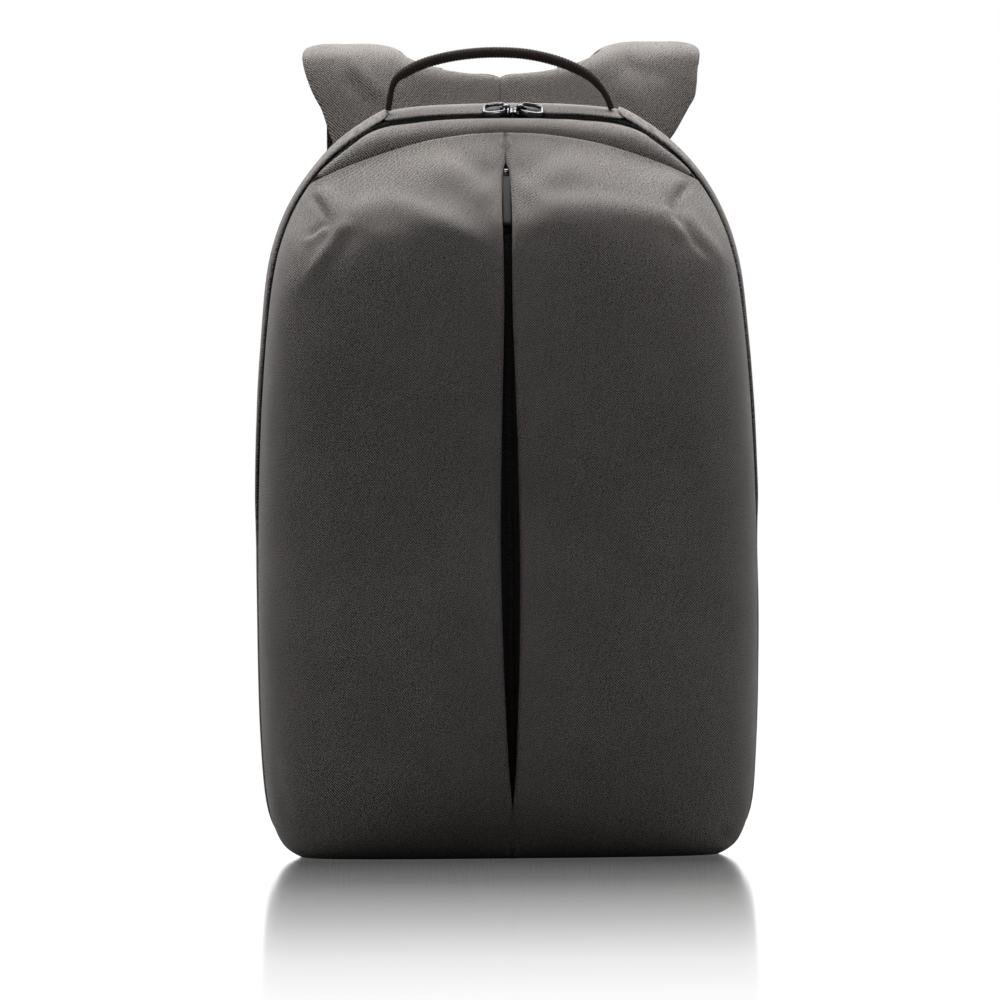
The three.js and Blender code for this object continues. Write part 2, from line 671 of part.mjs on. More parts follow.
// A pull: a plate with a finger hole, and a pin at its end through the slider's bridge.
function pullGeometry() {
  const neck = sliderBridgeWidth / 2 + 2.2;
  const half = pullWidth / 2;
  const start = -pullPinRadius;
  const slotEnd = sliderBridgeInner + sliderBridgeBar + 0.6;
  const plate = new THREE.Shape();
  plate.moveTo(start, -neck);
  plate.lineTo(slotEnd, -neck);
  plate.lineTo(slotEnd + 2.6, -half);
  plate.lineTo(pullLength - 2.5, -half);
  plate.quadraticCurveTo(pullLength, -half, pullLength, -half + 2.5);
  plate.lineTo(pullLength, half - 2.5);
  plate.quadraticCurveTo(pullLength, half, pullLength - 2.5, half);
  plate.lineTo(slotEnd + 2.6, half);
  plate.lineTo(slotEnd, neck);
  plate.lineTo(start, neck);
  const eye = sliderBridgeWidth / 2 + 0.7;
  plate.lineTo(start, eye);
  plate.lineTo(slotEnd, eye);
  plate.lineTo(slotEnd, -eye);
  plate.lineTo(start, -eye);
  const hole = new THREE.Path();
  const holeReach = (pullLength - slotEnd) / 2 - 2.2;
  hole.absellipse((pullLength + slotEnd) / 2 + 0.2, 0, holeReach, half - 2.4, 0, 2 * Math.PI);
  plate.holes.push(hole);
  const body = new THREE.ExtrudeGeometry(plate, {
    depth: pullThickness - 1,
    bevelThickness: 0.5,
    bevelSize: 0.35,
    bevelOffset: -0.35,
    bevelSegments: 1,
    curveSegments: 4,
  });
  body.translate(0, 0, -(pullThickness - 1) / 2);
  const pin = new THREE.CylinderGeometry(pullPinRadius, pullPinRadius, eye * 2 + 1.6, 10);
  return fromSolid(toSolid(body).add(toSolid(pin)));
}

// The sliders and pulls of the main zip. direction says to which side the pull lies.
function mainSlider(direction, sideName) {
  const pivotX = pullMeetX + direction * (sliderLength / 2 + seamGap);
  const place = rim.placeAtAcross(pivotX);
  const { zipOut, zipAcross } = rim.frameAt(place);
  const seated = new THREE.Group();
  const along = zipAcross.clone().cross(zipOut);
  seated.setRotationFromMatrix(new THREE.Matrix4().makeBasis(along, zipAcross, zipOut));
  seated.position.copy(rim.getPointAt(place));
  const chainTop = mainZipChainHeight - mainZipRecess + seamGap * 2;
  const slider = mesh(`main_zip_slider_${sideName}`, sliderGeometry(), gunmetal);
  slider.position.z = chainTop;
  slider.rotation.z = direction > 0 ? 0 : Math.PI;
  const pull = mesh(`main_zip_pull_${sideName}`, pullGeometry(), gunmetal);
  pull.position.z = chainTop + sliderHeight + bridgeRise;
  pull.rotation.set(0, pullDroop, direction > 0 ? 0 : Math.PI, "ZYX");
  seated.add(slider, pull);
  return seated;
}

// The front zip's slider, and the soft tape that hangs from it in the pleat.
function frontSlider() {
  const v = frontSliderPlace;
  const seat = pleatFloor(v);
  const step = vec().subVectors(pleatFloor(v + 0.01), pleatFloor(v - 0.01)).normalize();
  const lean = Math.atan2(step.y, step.z);
  const seated = new THREE.Group();
  seated.position.copy(seat);
  seated.rotation.x = -lean;
  const slider = mesh("front_zip_slider", sliderGeometry(), gunmetal);
  const turned = new THREE.Matrix4().makeBasis(vec(0, 0, 1), vec(-1, 0, 0), vec(0, -1, 0));
  slider.setRotationFromMatrix(turned);
  slider.position.y = -frontZipChainHeight - seamGap * 2;
  seated.add(slider, mesh("front_zip_pull", frontPull(), blackTape));
  return seated;
}

function frontPull() {
  const forward = frontZipChainHeight + seamGap * 2 + sliderHeight + bridgeRise;
  const rings = [];
  const count = 8;
  for (let i = 0; i <= count; i++) {
    const share = i / count;
    const droop = Math.sin(share * Math.PI) * 0.6;
    const centre = vec(0, -forward - droop, -sliderLength * 0.4 - frontPullLength * share);
    rings.push(rectangle(centre, vec(1, 0, 0), depthAxis, frontPullWidth, frontPullThickness));
  }
  return loft(rings);
}

// The base panel: the bag's footprint inside its walls.
function basePanel() {
  const inset = clothThickness * 1.7 + seamGap;
  const outline = [];
  for (const side of [1, -1]) {
    const points = [];
    for (let i = 0; i <= 14; i++) {
      const angle = (Math.PI / 2) * (i / 14);
      const square = panelSquare(0);
      const edge = panelPoint(0, Math.pow(Math.cos(angle), 2 / square), side);
      const shrink = vec(edge.x, edge.y, 0);
      const away = shrink.clone().normalize().multiplyScalar(inset);
      points.push(shrink.sub(away));
    }
    const rear = gussetPoint(side < 0 ? 0 : 1, 1);
    points.unshift(vec(rear.x - side * inset, rear.y - seamGap, 0));
    outline.push(side > 0 ? points : points.reverse().slice(1));
  }
  const shape = new THREE.Shape(outline.flat().map((p) => new THREE.Vector2(p.x, p.y)));
  return new THREE.ExtrudeGeometry(shape, { depth: basePanelThickness, bevelEnabled: false });
}

// The padded back panel: a plate with round edges behind the gusset.
function backPanel() {
  const outline = [];
  const count = 44;
  for (let i = 0; i <= count; i++) {
    const point = gussetPoint(i / count, 1);
    outline.push(new THREE.Vector2(point.x, Math.max(point.z, backPanelLap)));
  }
  const geometry = new THREE.ExtrudeGeometry(new THREE.Shape(outline), {
    depth: backPanelThickness - 2 * backPanelBevel,
    bevelThickness: backPanelBevel,
    bevelSize: backPanelBevel,
    bevelOffset: backPanelLap - backPanelBevel,
    bevelSegments: 2,
  });
  geometry.rotateX(Math.PI / 2);
  geometry.translate(0, rearDepth - backPanelBevel, 0);
  return geometry;
}

const strapColumns = {
  inner: column(strapRows, "inner", halfWidth),
  outer: column(strapRows, "outer", halfWidth),
  back: column(strapRows, "back", strapFoldDepth),
  bow: column(strapRows, "bow", strapBow),
  innerRise: column(strapRows, "innerRise"),
  outerRise: column(strapRows, "outerRise"),
  tuck: column(strapRows, "tuck", halfWidth),
};
const strapRootY = rearDepth + seamGap + strapThickness / 2 + 0.6;

function strapHeight(rise) {
  return bodyHeight + rise * (rise > 0 ? harnessRise : strapDrop);
}

// A point on the middle surface of a strap, from its root (0) to its lower end (1), and from
// its inner edge (0) to its outer edge (1).
function strapPoint(side, along, across) {
  const y = strapRootY + strapColumns.back(along) + strapColumns.bow(along);
  const innerZ = strapHeight(strapColumns.innerRise(along));
  const outerZ = strapHeight(strapColumns.outerRise(along));
  const z = lerp(innerZ, outerZ, across);
  const outer = strapColumns.outer(along) - (side > 0 ? strapColumns.tuck(along) : 0);
  return vec(side * lerp(strapColumns.inner(along), outer, across), y, z);
}

function strapFrame(side, along, across) {
  const step = 0.01;
  const centre = strapPoint(side, along, across);
  const forward = vec().subVectors(
    strapPoint(side, Math.min(along + step, 1), across),
    strapPoint(side, Math.max(along - step, 0), across),
  );
  const sideways = vec().subVectors(strapPoint(side, along, 1), strapPoint(side, along, 0));
  const outward = forward.cross(sideways).normalize().multiplyScalar(side);
  return { centre, outward };
}

// The two straps meet at the middle of the harness and neither goes past it.
function keepToSide(point, side) {
  if (side * point.x < seamGap / 2) point.x = (side * seamGap) / 2;
  return point;
}

// A strap: rings round its middle surface, thick in the middle and thin at its two edges.
// lift moves the piece off the middle surface, towards the wearer when it is under zero.
function strapBody(side, thickness, lift, margin, count, acrossCount) {
  const rings = [];
  for (let i = 0; i <= count; i++) {
    const along = i / count;
    const upper = [];
    const lower = [];
    for (let j = 0; j <= acrossCount; j++) {
      const across = lerp(margin, 1 - margin, j / acrossCount);
      const { centre, outward } = strapFrame(side, along, across);
      const edge = j === 0 || j === acrossCount;
      const half = (thickness / 2) * (edge ? 0.45 : 1);
      upper.push(keepToSide(centre.clone().addScaledVector(outward, lift + half), side));
      lower.push(keepToSide(centre.clone().addScaledVector(outward, lift - half), side));
    }
    rings.push([...upper, ...lower.reverse()]);
  }
  return loft(rings);
}

// Webbing, adjuster and anchor of one side.
const anchorAcross = halfWidth * 0.7;
const adjusterDrop = adjusterHeight / 2 + adjusterGap;

function adjusterPlace(side) {
  const end = strapPoint(side, 1, 0.5);
  return vec(end.x, end.y, end.z - adjusterDrop);
}

function adjusterGeometry() {
  const half = adjusterWidth / 2;
  const tall = adjusterHeight / 2;
  const shape = new THREE.Shape();
  shape.moveTo(-half, -tall + 3);
  shape.quadraticCurveTo(-half, -tall, -half + 3, -tall);
  shape.lineTo(half - 3, -tall);
  shape.quadraticCurveTo(half, -tall, half, -tall + 3);
  shape.lineTo(half, tall - 3);
  shape.quadraticCurveTo(half, tall, half - 3, tall);
  shape.lineTo(-half + 3, tall);
  shape.quadraticCurveTo(-half, tall, -half, tall - 3);
  const slotHalf = (adjusterHeight - 3 * adjusterBar) / 4;
  for (const middle of [adjusterBar / 2 + slotHalf, -adjusterBar / 2 - slotHalf]) {
    const slot = new THREE.Path();
    const reach = half - adjusterBar + 0.6;
    slot.moveTo(-reach, middle - slotHalf);
    slot.lineTo(-reach, middle + slotHalf);
    slot.lineTo(reach, middle + slotHalf);
    slot.lineTo(reach, middle - slotHalf);
    shape.holes.push(slot);
  }
  const geometry = new THREE.ExtrudeGeometry(shape, {
    depth: adjusterThickness,
    bevelEnabled: false,
    curveSegments: 3,
  });
  geometry.rotateX(Math.PI / 2);
  geometry.translate(0, adjusterThickness / 2, 0);
  return geometry;
}

// A flat band along a line of points in space, its width near the X axis.
function band(points, width, thickness, count) {
  const line = new THREE.CatmullRomCurve3(points, false, "centripetal");
  const rings = [];
  for (let i = 0; i <= count; i++) {
    const u = i / count;
    const tangent = line.getTangent(u);
    const up = vec(1, 0, 0).cross(tangent).normalize();
    const across = tangent.clone().cross(up).normalize();
    rings.push(rectangle(line.getPoint(u), across, up, width, thickness));
  }
  return loft(rings);
}

// The loop that holds the adjuster on the strap's lower end.
function endLoop(side) {
  const place = adjusterPlace(side);
  const end = strapPoint(side, 1, 0.5);
  const reach = adjusterThickness / 2 + webbingThickness / 2 + seamGap * 2;
  const top = end.z - seamGap - 1.2;
  const under = place.z + adjusterHeight / 2 - adjusterBar - webbingThickness / 2 - barClearance;
  const points = [
    vec(place.x, place.y - reach, top),
    vec(place.x, place.y - reach, under + reach),
    vec(place.x, place.y - reach * 0.8, under + reach * 0.3),
    vec(place.x, place.y, under),
    vec(place.x, place.y + reach * 0.8, under + reach * 0.3),
    vec(place.x, place.y + reach, under + reach),
    vec(place.x, place.y + reach, top),
  ];
  return band(points, webbingWidth, webbingThickness, 18);
}

// The webbing from its anchor up round the adjuster's middle bar, and its loose tail.
function lowerWebbing(side) {
  const place = adjusterPlace(side);
  const reach = adjusterThickness / 2 + webbingThickness / 2 + seamGap * 2;
  const over = place.z + adjusterBar / 2 + webbingThickness / 2 + barClearance;
  const foot = vec(side * anchorAcross, rearDepth + 4.2, anchorHeight + anchorTabHeight * 0.4);
  const points = [
    foot,
    vec(lerp(foot.x, place.x, 0.3), lerp(foot.y, place.y, 0.35), lerp(foot.z, place.z, 0.33)),
    vec(lerp(foot.x, place.x, 0.75), lerp(foot.y, place.y, 0.8) - 2, lerp(foot.z, place.z, 0.72)),
    vec(place.x, place.y - reach, place.z - adjusterHeight / 2 - 2),
    vec(place.x, place.y - reach, over - reach),
    vec(place.x, place.y - reach * 0.8, over - reach * 0.3),
    vec(place.x, place.y, over),
    vec(place.x, place.y + reach * 0.8, over - reach * 0.3),
    vec(place.x, place.y + reach, over - reach),
    vec(place.x, place.y + reach, place.z - adjusterHeight / 2 - 2),
    vec(place.x + side, place.y + reach + 1, place.z - webbingTail * 0.6),
    vec(place.x + side * 3, place.y + reach - 1, place.z - webbingTail),
  ];
  return band(points, webbingWidth, webbingThickness, 33);
}

// The tab that holds the webbing at the foot of the back panel.
function anchorTab(side) {
  const shape = new THREE.Shape();
  const top = webbingWidth / 2 + 3;
  shape.moveTo(-top, anchorTabHeight / 2);
  shape.lineTo(-top - 5, -anchorTabHeight / 2);
  shape.lineTo(top + 5, -anchorTabHeight / 2);
  shape.lineTo(top, anchorTabHeight / 2);
  const geometry = new THREE.ExtrudeGeometry(shape, { depth: clothThickness, bevelEnabled: false });
  geometry.rotateX(Math.PI / 2);
  geometry.translate(side * anchorAcross, rearDepth + seamGap + clothThickness, anchorHeight);
  return geometry;
}

// The handle: round rings along its line, thicker in the grip. It comes out of the ledge where
// the side gussets lap over the top one.
function carryHandle() {
  const foot = gussetPoint(rim.placeAtAcross(handleHalfSpan), 0.03);
  const footZ = foot.z + gussetRaise + handleEndRadius * 0.8;
  const points = handleRows.map((row) =>
    vec(row.x * handleHalfSpan, foot.y + row.up * 2, footZ + row.up * handleRise),
  );
  const line = new THREE.CatmullRomCurve3(points, false, "centripetal");
  const thick = column(handleRows, "thick");
  const count = 32;
  const sides = 8;
  const rings = [];
  for (let i = 0; i <= count; i++) {
    const u = i / count;
    const share = THREE.MathUtils.clamp(thick(line.getUtoTmapping(u)), 0, 1);
    const radius = lerp(handleEndRadius, handleGripRadius, share);
    const tangent = line.getTangentAt(u);
    const side = depthAxis.clone().cross(tangent).normalize();
    const up = tangent.clone().cross(side);
    const ring = [];
    for (let k = 0; k < sides; k++) {
      const angle = (2 * Math.PI * k) / sides;
      const point = line.getPointAt(u).addScaledVector(side, radius * Math.cos(angle));
      ring.push(point.addScaledVector(up, radius * Math.sin(angle)));
    }
    rings.push(ring);
  }
  return loft(rings);
}

const mainTapeWidth = mainZipWidth - seamGap * 4.5;
const mainTape = seamBand(mainTapeWidth, zipTapeThickness, mainZipRecess + seamGap, 46);
const mainChainDepth = mainZipRecess - mainZipChainHeight;
const mainChain = seamBand(mainZipChainWidth, mainZipChainHeight, mainChainDepth, 46);
const frontTape = frontZipBand(frontZipTapeWidth, zipTapeThickness, 0, frontZipBottom, frontZipTop, 22);
const frontChain = frontZipBand(
  frontZipChainWidth,
  frontZipChainHeight,
  frontZipChainHeight + seamGap,
  frontZipBottom + 0.02,
  frontZipTop - 0.01,
  22,
);

const backpack = new THREE.Group();
backpack.add(
  mesh("front_panel_left", frontPanel(-1), cloth),
  mesh("front_panel_right", frontPanel(1), cloth),
  mesh("top_roll", topRoll(), cloth),
  mesh("side_gusset_left", gusset(0, topGussetStart - 0.0002, 20, gussetRaise), cloth),
  mesh("top_gusset", gusset(topGussetStart + 0.0002, topGussetEnd - 0.0002, 10, 0), cloth),
  mesh("side_gusset_right", gusset(topGussetEnd + 0.0002, 1, 20, gussetRaise), cloth),
  mesh("base_panel", basePanel(), darkCloth),
  mesh("back_panel", backPanel(), darkCloth),
  mesh("main_zip_tape", mainTape, blackTape),
  mesh("main_zip_chain", mainChain, blackPlastic),
  mesh("front_zip_tape", frontTape, blackTape),
  mesh("front_zip_chain", frontChain, blackPlastic),
  mesh("carry_handle", carryHandle(), brownRope),
  mainSlider(-1, "left"),
  mainSlider(1, "right"),
  frontSlider(),
);
for (const [side, name] of [
  [-1, "left"],
  [1, "right"],
]) {
  const liningLift = strapThickness / 2 + seamGap * 1.5 + strapLiningThickness / 2;
  const adjuster = mesh(`strap_adjuster_${name}`, adjusterGeometry(), blackPlastic);
  adjuster.position.copy(adjusterPlace(side));
  backpack.add(
    mesh(`shoulder_strap_${name}`, strapBody(side, strapThickness, 0, 0, 26, 5), cloth),
    mesh(`strap_lining_${name}`, strapBody(side, strapLiningThickness, liningLift, 0.02, 26, 3), darkCloth),
    mesh(`strap_webbing_${name}`, lowerWebbing(side), blackTape),
    mesh(`strap_end_loop_${name}`, endLoop(side), blackTape),
    mesh(`strap_anchor_${name}`, anchorTab(side), cloth),
    adjuster,
  );
}

// The origin is the middle of the footprint's box, on the floor.
backpack.updateMatrixWorld(true);
const bounds = new THREE.Box3().setFromObject(backpack, true);
const middle = bounds.getCenter(vec());
backpack.position.set(-middle.x, -middle.y, -bounds.min.z);

export default backpack;
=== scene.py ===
import json
import math

import bpy
import numpy as np
from mathutils import Matrix, Vector, kdtree, noise


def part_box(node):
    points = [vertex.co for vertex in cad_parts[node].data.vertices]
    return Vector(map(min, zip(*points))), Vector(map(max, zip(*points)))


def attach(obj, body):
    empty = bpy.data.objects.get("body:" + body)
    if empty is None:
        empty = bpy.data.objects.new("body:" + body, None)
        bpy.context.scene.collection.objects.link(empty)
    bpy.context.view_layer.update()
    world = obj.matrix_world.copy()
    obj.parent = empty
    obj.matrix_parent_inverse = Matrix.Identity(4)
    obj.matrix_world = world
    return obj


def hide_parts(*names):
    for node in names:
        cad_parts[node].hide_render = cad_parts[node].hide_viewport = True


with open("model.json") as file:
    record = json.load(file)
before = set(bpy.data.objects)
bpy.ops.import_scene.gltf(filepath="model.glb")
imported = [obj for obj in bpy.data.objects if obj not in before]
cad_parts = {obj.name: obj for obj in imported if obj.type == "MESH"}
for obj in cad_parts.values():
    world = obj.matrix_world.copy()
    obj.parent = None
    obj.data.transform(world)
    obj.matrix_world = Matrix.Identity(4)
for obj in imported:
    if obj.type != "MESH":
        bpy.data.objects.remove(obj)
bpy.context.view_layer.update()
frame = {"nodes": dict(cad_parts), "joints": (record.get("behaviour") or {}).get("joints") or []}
print("frame loaded:", len(frame["nodes"]), "nodes")

mm = 0.001
inside = Vector((0, 0.012, 0.25))  # a point in the middle of the bag, which outward is measured from


def deselectAll():
    if bpy.context.object and bpy.context.object.mode != "OBJECT":
        bpy.ops.object.mode_set(mode="OBJECT")
    bpy.ops.object.select_all(action="DESELECT")


def pick(obj):
    deselectAll()
    obj.select_set(True)
    bpy.context.view_layer.objects.active = obj


def applyModifiers(obj):
    pick(obj)
    for modifier in list(obj.modifiers):
        bpy.ops.object.modifier_apply(modifier=modifier.name)


def readPoints(obj):
    co = np.empty(len(obj.data.vertices) * 3, np.float32)
    obj.data.vertices.foreach_get("co", co)
    return co.reshape(-1, 3).astype(float)


def writePoints(obj, co):
    obj.data.vertices.foreach_set("co", np.asarray(co, np.float32).ravel())
    obj.data.update()


def readNormals(obj):
    normals = np.empty(len(obj.data.vertices) * 3, np.float32)
    obj.data.vertices.foreach_get("normal", normals)
    return normals.reshape(-1, 3).astype(float)


# A merged copy of a CAD node, with its loft's quads back
def copyOfNode(node, name, quads=True):
    obj = bpy.data.objects.new(name, frame["nodes"][node].data.copy())
    obj.data.name = name
    bpy.context.scene.collection.objects.link(obj)
    obj.data.materials.clear()
    pick(obj)
    bpy.ops.mesh.customdata_custom_splitnormals_clear()
    bpy.ops.object.mode_set(mode="EDIT")
    bpy.ops.mesh.select_all(action="SELECT")
    bpy.ops.mesh.remove_doubles(threshold=0.00001)
    if quads:
        bpy.ops.mesh.tris_convert_to_quads(face_threshold=math.radians(40), shape_threshold=math.radians(60))
    bpy.ops.object.mode_set(mode="OBJECT")
    return obj


# Subdivides so that the smooth surface still goes through the points that it had
def roundUp(obj, levels, seam=None):
    if seam:
        co = readPoints(obj)
        crease = obj.data.attributes.new("crease_edge", "FLOAT", "EDGE")
        for edge in obj.data.edges:
            a, b = edge.vertices
            crease.data[edge.index].value = 1.0 if seam(co[a]) and seam(co[b]) else 0.0
    start = readPoints(obj)
    trial = obj.copy()
    trial.data = obj.data.copy()
    bpy.context.scene.collection.objects.link(trial)
    modifier = trial.modifiers.new("smooth", "SUBSURF")
    modifier.levels = modifier.render_levels = 2
    applyModifiers(trial)
    reached = readPoints(trial)[: len(start)]
    bpy.data.objects.remove(trial)
    writePoints(obj, 2 * start - reached)
    modifier = obj.modifiers.new("smooth", "SUBSURF")
    modifier.levels = modifier.render_levels = levels
    applyModifiers(obj)
    return obj


def smoothShade(obj, degrees=40):
    pick(obj)
    bpy.ops.object.shade_smooth_by_angle(angle=math.radians(degrees))
    return obj


# The way out of the bag at each point of a thin wall, so that both of its faces move together
def wayOut(obj, centre):
    co, normals = readPoints(obj), readNormals(obj)
    facing = ((co - np.array(centre(co))) * normals).sum(1)
    outer = np.nonzero(facing > 0)[0]
    tree = kdtree.KDTree(len(outer))
    for i in outer:
        tree.insert(co[i], int(i))
    tree.balance()
    out = normals.copy()
    for i in np.nonzero(facing <= 0)[0]:
        out[i] = normals[tree.find(co[i])[1]]
    return out


def smoothStep(value, start, end):
    t = np.clip((value - start) / (end - start), 0, 1)
    return t * t * (3 - 2 * t)


# Rises from 0 to 1 over one range, and falls again over another
def riseAndFall(value, rise, fall):
    return smoothStep(value, *rise) * (1 - smoothStep(value, *fall))


# How far each point (x, z) is from a line of points, and how far along it
def nearLine(flat, line):
    line = np.array(line, float) * mm
    lengths = np.linalg.norm(np.diff(line, axis=0), axis=1)
    total = lengths.sum()
    best = np.full(len(flat), 1e9)
    along = np.zeros(len(flat))
    done = 0.0
    for a, b, length in zip(line[:-1], line[1:], lengths):
        way = (b - a) / length
        t = np.clip((flat - a) @ way, 0, length)
        away = flat - (a + t[:, None] * way)
        distance = np.linalg.norm(away, axis=1)
        closer = distance < best
        best[closer] = distance[closer]
        along[closer] = (done + t[closer]) / total
        done += length
    return best, along


# One fold: a ridge (push above 0) or a valley (below 0) that fades towards its ends
def foldPush(flat, fold):
    line, width, push, (start, end) = fold
    distance, along = nearLine(flat, line)
    fade = np.ones(len(flat))
    if start:
        fade *= smoothStep(along, 0, start)
    if end:
        fade *= smoothStep(1 - along, 0, end)
    return push * mm * np.exp(-((distance / mm / width) ** 2)) * fade


def softNoise(co, size, seed):
    shift = Vector((seed * 1.7, seed * 3.1, seed * 0.9))
    return np.array([noise.noise(Vector(p) / (size * mm) + shift) for p in co])


# Lays a UV map on a piece, in tenths of a metre, from the place of each point
def layMap(obj, u, v):
    layer = obj.data.uv_layers.get("weave") or obj.data.uv_layers.new(name="weave")
    loops = np.empty(len(obj.data.loops), np.int32)
    obj.data.loops.foreach_get("vertex_index", loops)
    flat = np.stack([u[loops] * 10, v[loops] * 10], 1)
    layer.data.foreach_set("uv", flat.astype(np.float32).ravel())


def finishPiece(obj, body, slot, material, *nodes):
    obj.data.materials.clear()
    obj.data.materials.append(material)
    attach(obj, body)
    if nodes:
        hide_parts(*nodes)
    return obj


# The rings of a lofted CAD strip, tube or strap, from the middle of its end cap that lies lowest on an axis
def ringsOf(node, size, axis=0, flatCap=True):
    obj = copyOfNode(node, "rings", quads=False)
    co = readPoints(obj)
    near = [set() for _ in co]
    for edge in obj.data.edges:
        a, b = edge.vertices
        near[a].add(b)
        near[b].add(a)
    bpy.data.objects.remove(obj)
    caps = [i for i, n in enumerate(near) if len(n) == size]
    if flatCap:
        caps = [i for i in caps if np.linalg.norm(co[i] - co[list(near[i])].mean(0)) < 0.2 * mm]
    first = min(caps, key=lambda i: co[i][axis])
    seen, layer, rings = {first}, {first}, []
    while True:
        layer = {j for i in layer for j in near[i]} - seen
        if len(layer) != size:
            break
        seen |= layer
        rings.append(co[sorted(layer)])
    return np.array(rings)


# A smooth line through a row of points, in a number of steps between each two
def splineThrough(points, steps):
    fine, n = [], len(points)
    for i in range(n - 1):
        p0, p1, p2, p3 = points[max(i - 1, 0)], points[i], points[i + 1], points[min(i + 2, n - 1)]
        bend = 2 * p0 - 5 * p1 + 4 * p2 - p3
        turn = 3 * p1 - p0 - 3 * p2 + p3
        for t in np.linspace(0, 1, steps, endpoint=i == n - 2):
            fine.append((0.5 * (2 * p1 + (p2 - p0) * t + bend * t * t + turn * t ** 3), i, t))
    return fine


# How far along a line each of its points is
def runOf(points):
    return np.concatenate([[0], np.cumsum(np.linalg.norm(np.diff(points, axis=0), axis=1))])


# A smooth line through the middles of the rings, at even steps, with the strip's width and outward ways
def stripLine(node, step, size=4, axis=0, centre=inside):
    rings = ringsOf(node, size, axis)
    middles = rings.mean(1)
    across = []
    for ring, middle in zip(rings, middles):
        way = np.linalg.svd(ring - middle)[2][0]
        across.append(way if not across or way @ across[-1] > 0 else -way)
    line = splineThrough(middles, 40)
    fine = np.array([np.concatenate([p, across[i] * (1 - t) + across[i + 1] * t]) for p, i, t in line])
    run = runOf(fine[:, :3])
    places = np.arange(step / 2, run[-1], step)
    even = np.stack([np.interp(places, run, fine[:, k]) for k in range(6)], 1)
    points, width = even[:, :3], even[:, 3:]
    along = np.gradient(points, axis=0)
    along /= np.linalg.norm(along, axis=1)[:, None]
    width -= (width * along).sum(1)[:, None] * along
    width /= np.linalg.norm(width, axis=1)[:, None]
    out = np.cross(along, width)
    turned = ((points - np.array(centre)) * out).sum(1) < 0
    out[turned] *= -1
    return points, along, width, out


# Puts a copy of a small piece at each place of a line, as one mesh
def repeatAlong(name, unit, points, along, width, out, stagger):
    co, faces = readPoints(unit), [list(p.vertices) for p in unit.data.polygons]
    allCo, allFaces = [], []
    for i, (p, a, w, o) in enumerate(zip(points, along, width, out)):
        base = len(co) * i
        side = (i % 2 * 2 - 1) * stagger
        place = co[:, :1] * a + (co[:, 1:2] + side) * w + co[:, 2:] * o + p
        allCo.append(place)
        turned = np.dot(np.cross(a, w), o) < 0
        allFaces += [[base + k for k in (reversed(f) if turned else f)] for f in faces]
    mesh = bpy.data.meshes.new(name)
    mesh.from_pydata(np.concatenate(allCo).tolist(), [], allFaces)
    obj = bpy.data.objects.new(name, mesh)
    bpy.context.scene.collection.objects.link(obj)
    return obj


def faceOutwards(obj):
    pick(obj)
    bpy.ops.object.mode_set(mode="EDIT")
    bpy.ops.mesh.select_all(action="SELECT")
    bpy.ops.mesh.normals_make_consistent(inside=False)
    bpy.ops.object.mode_set(mode="OBJECT")


# A closed tube through rings of points, with the way round and along it as its map
def tubeThrough(name, rings, u, v):
    count, sides = len(rings), len(rings[0])
    faces = []
    for i in range(count - 1):
        for k in range(sides):
            a, b = i * sides + k, i * sides + (k + 1) % sides
            faces.append([a, b, b + sides, a + sides])
    last = (count - 1) * sides
    faces += [list(range(sides))[::-1], [last + k for k in range(sides)]]
    mesh = bpy.data.meshes.new(name)
    mesh.from_pydata([list(p) for ring in rings for p in ring], [], faces)
    obj = bpy.data.objects.new(name, mesh)
    bpy.context.scene.collection.objects.link(obj)
    faceOutwards(obj)
    layMap(obj, np.array(u), np.array(v))
    return obj


def bevelledBlock(name, size, bevel, segments=1):
    deselectAll()
    bpy.ops.mesh.primitive_cube_add(size=1, location=(0, 0, 0))
    obj = bpy.context.object
    obj.name = obj.data.name = name
    bpy.ops.object.mode_set(mode="EDIT")
    bpy.ops.transform.resize(value=size)
    bpy.ops.mesh.bevel(offset=bevel, segments=segments, affect="EDGES")
    bpy.ops.object.mode_set(mode="OBJECT")
    return obj


# Materials
def newMaterial(name, color, roughness, **settings):
    material = bpy.data.materials.new(name)
    material.use_nodes = True
    material.diffuse_color = (*color, 1)
    shader = material.node_tree.nodes["Principled BSDF"]
    shader.inputs["Base Color"].default_value = (*color, 1)
    shader.inputs["Roughness"].default_value = roughness
    for key, value in settings.items():
        shader.inputs[key.replace("_", " ")].default_value = value
    return material, shader


def addNode(material, kind, inputs=None, **settings):
    made = material.node_tree.nodes.new("ShaderNode" + kind)
    for key, value in settings.items():
        setattr(made, key, value)
    for key, value in (inputs or {}).items():
        if isinstance(value, bpy.types.NodeSocket):
            material.node_tree.links.new(value, made.inputs[key])
        else:
            made.inputs[key].default_value = value
    return made


def calc(material, operation, a, b=0.0, c=0.0):
    made = addNode(material, "Math", {0: a, 1: b, 2: c}, operation=operation)
    return made.outputs[0]


def mixColour(material, factor, a, b, blend="MIX"):
    made = addNode(material, "Mix", {0: factor, 6: a, 7: b}, data_type="RGBA", blend_type=blend)
    return made.outputs[2]


def mapped(material, scale, turn=0.0, source="weave"):
    if source == "weave":
        where = addNode(material, "UVMap", uv_map="weave").outputs["UV"]
    else:
        where = addNode(material, "TexCoord").outputs["Object"]
    turned = addNode(material, "Mapping", {"Vector": where, "Rotation": (0, 0, turn)})
    return addNode(material, "Mapping", {"Vector": turned.outputs[0], "Scale": scale}).outputs[0]


def setBump(material, shader, height, strength, distance):
    bump = addNode(material, "Bump", {"Height": height, "Strength": strength, "Distance": distance})
    material.node_tree.links.new(bump.outputs[0], shader.inputs["Normal"])


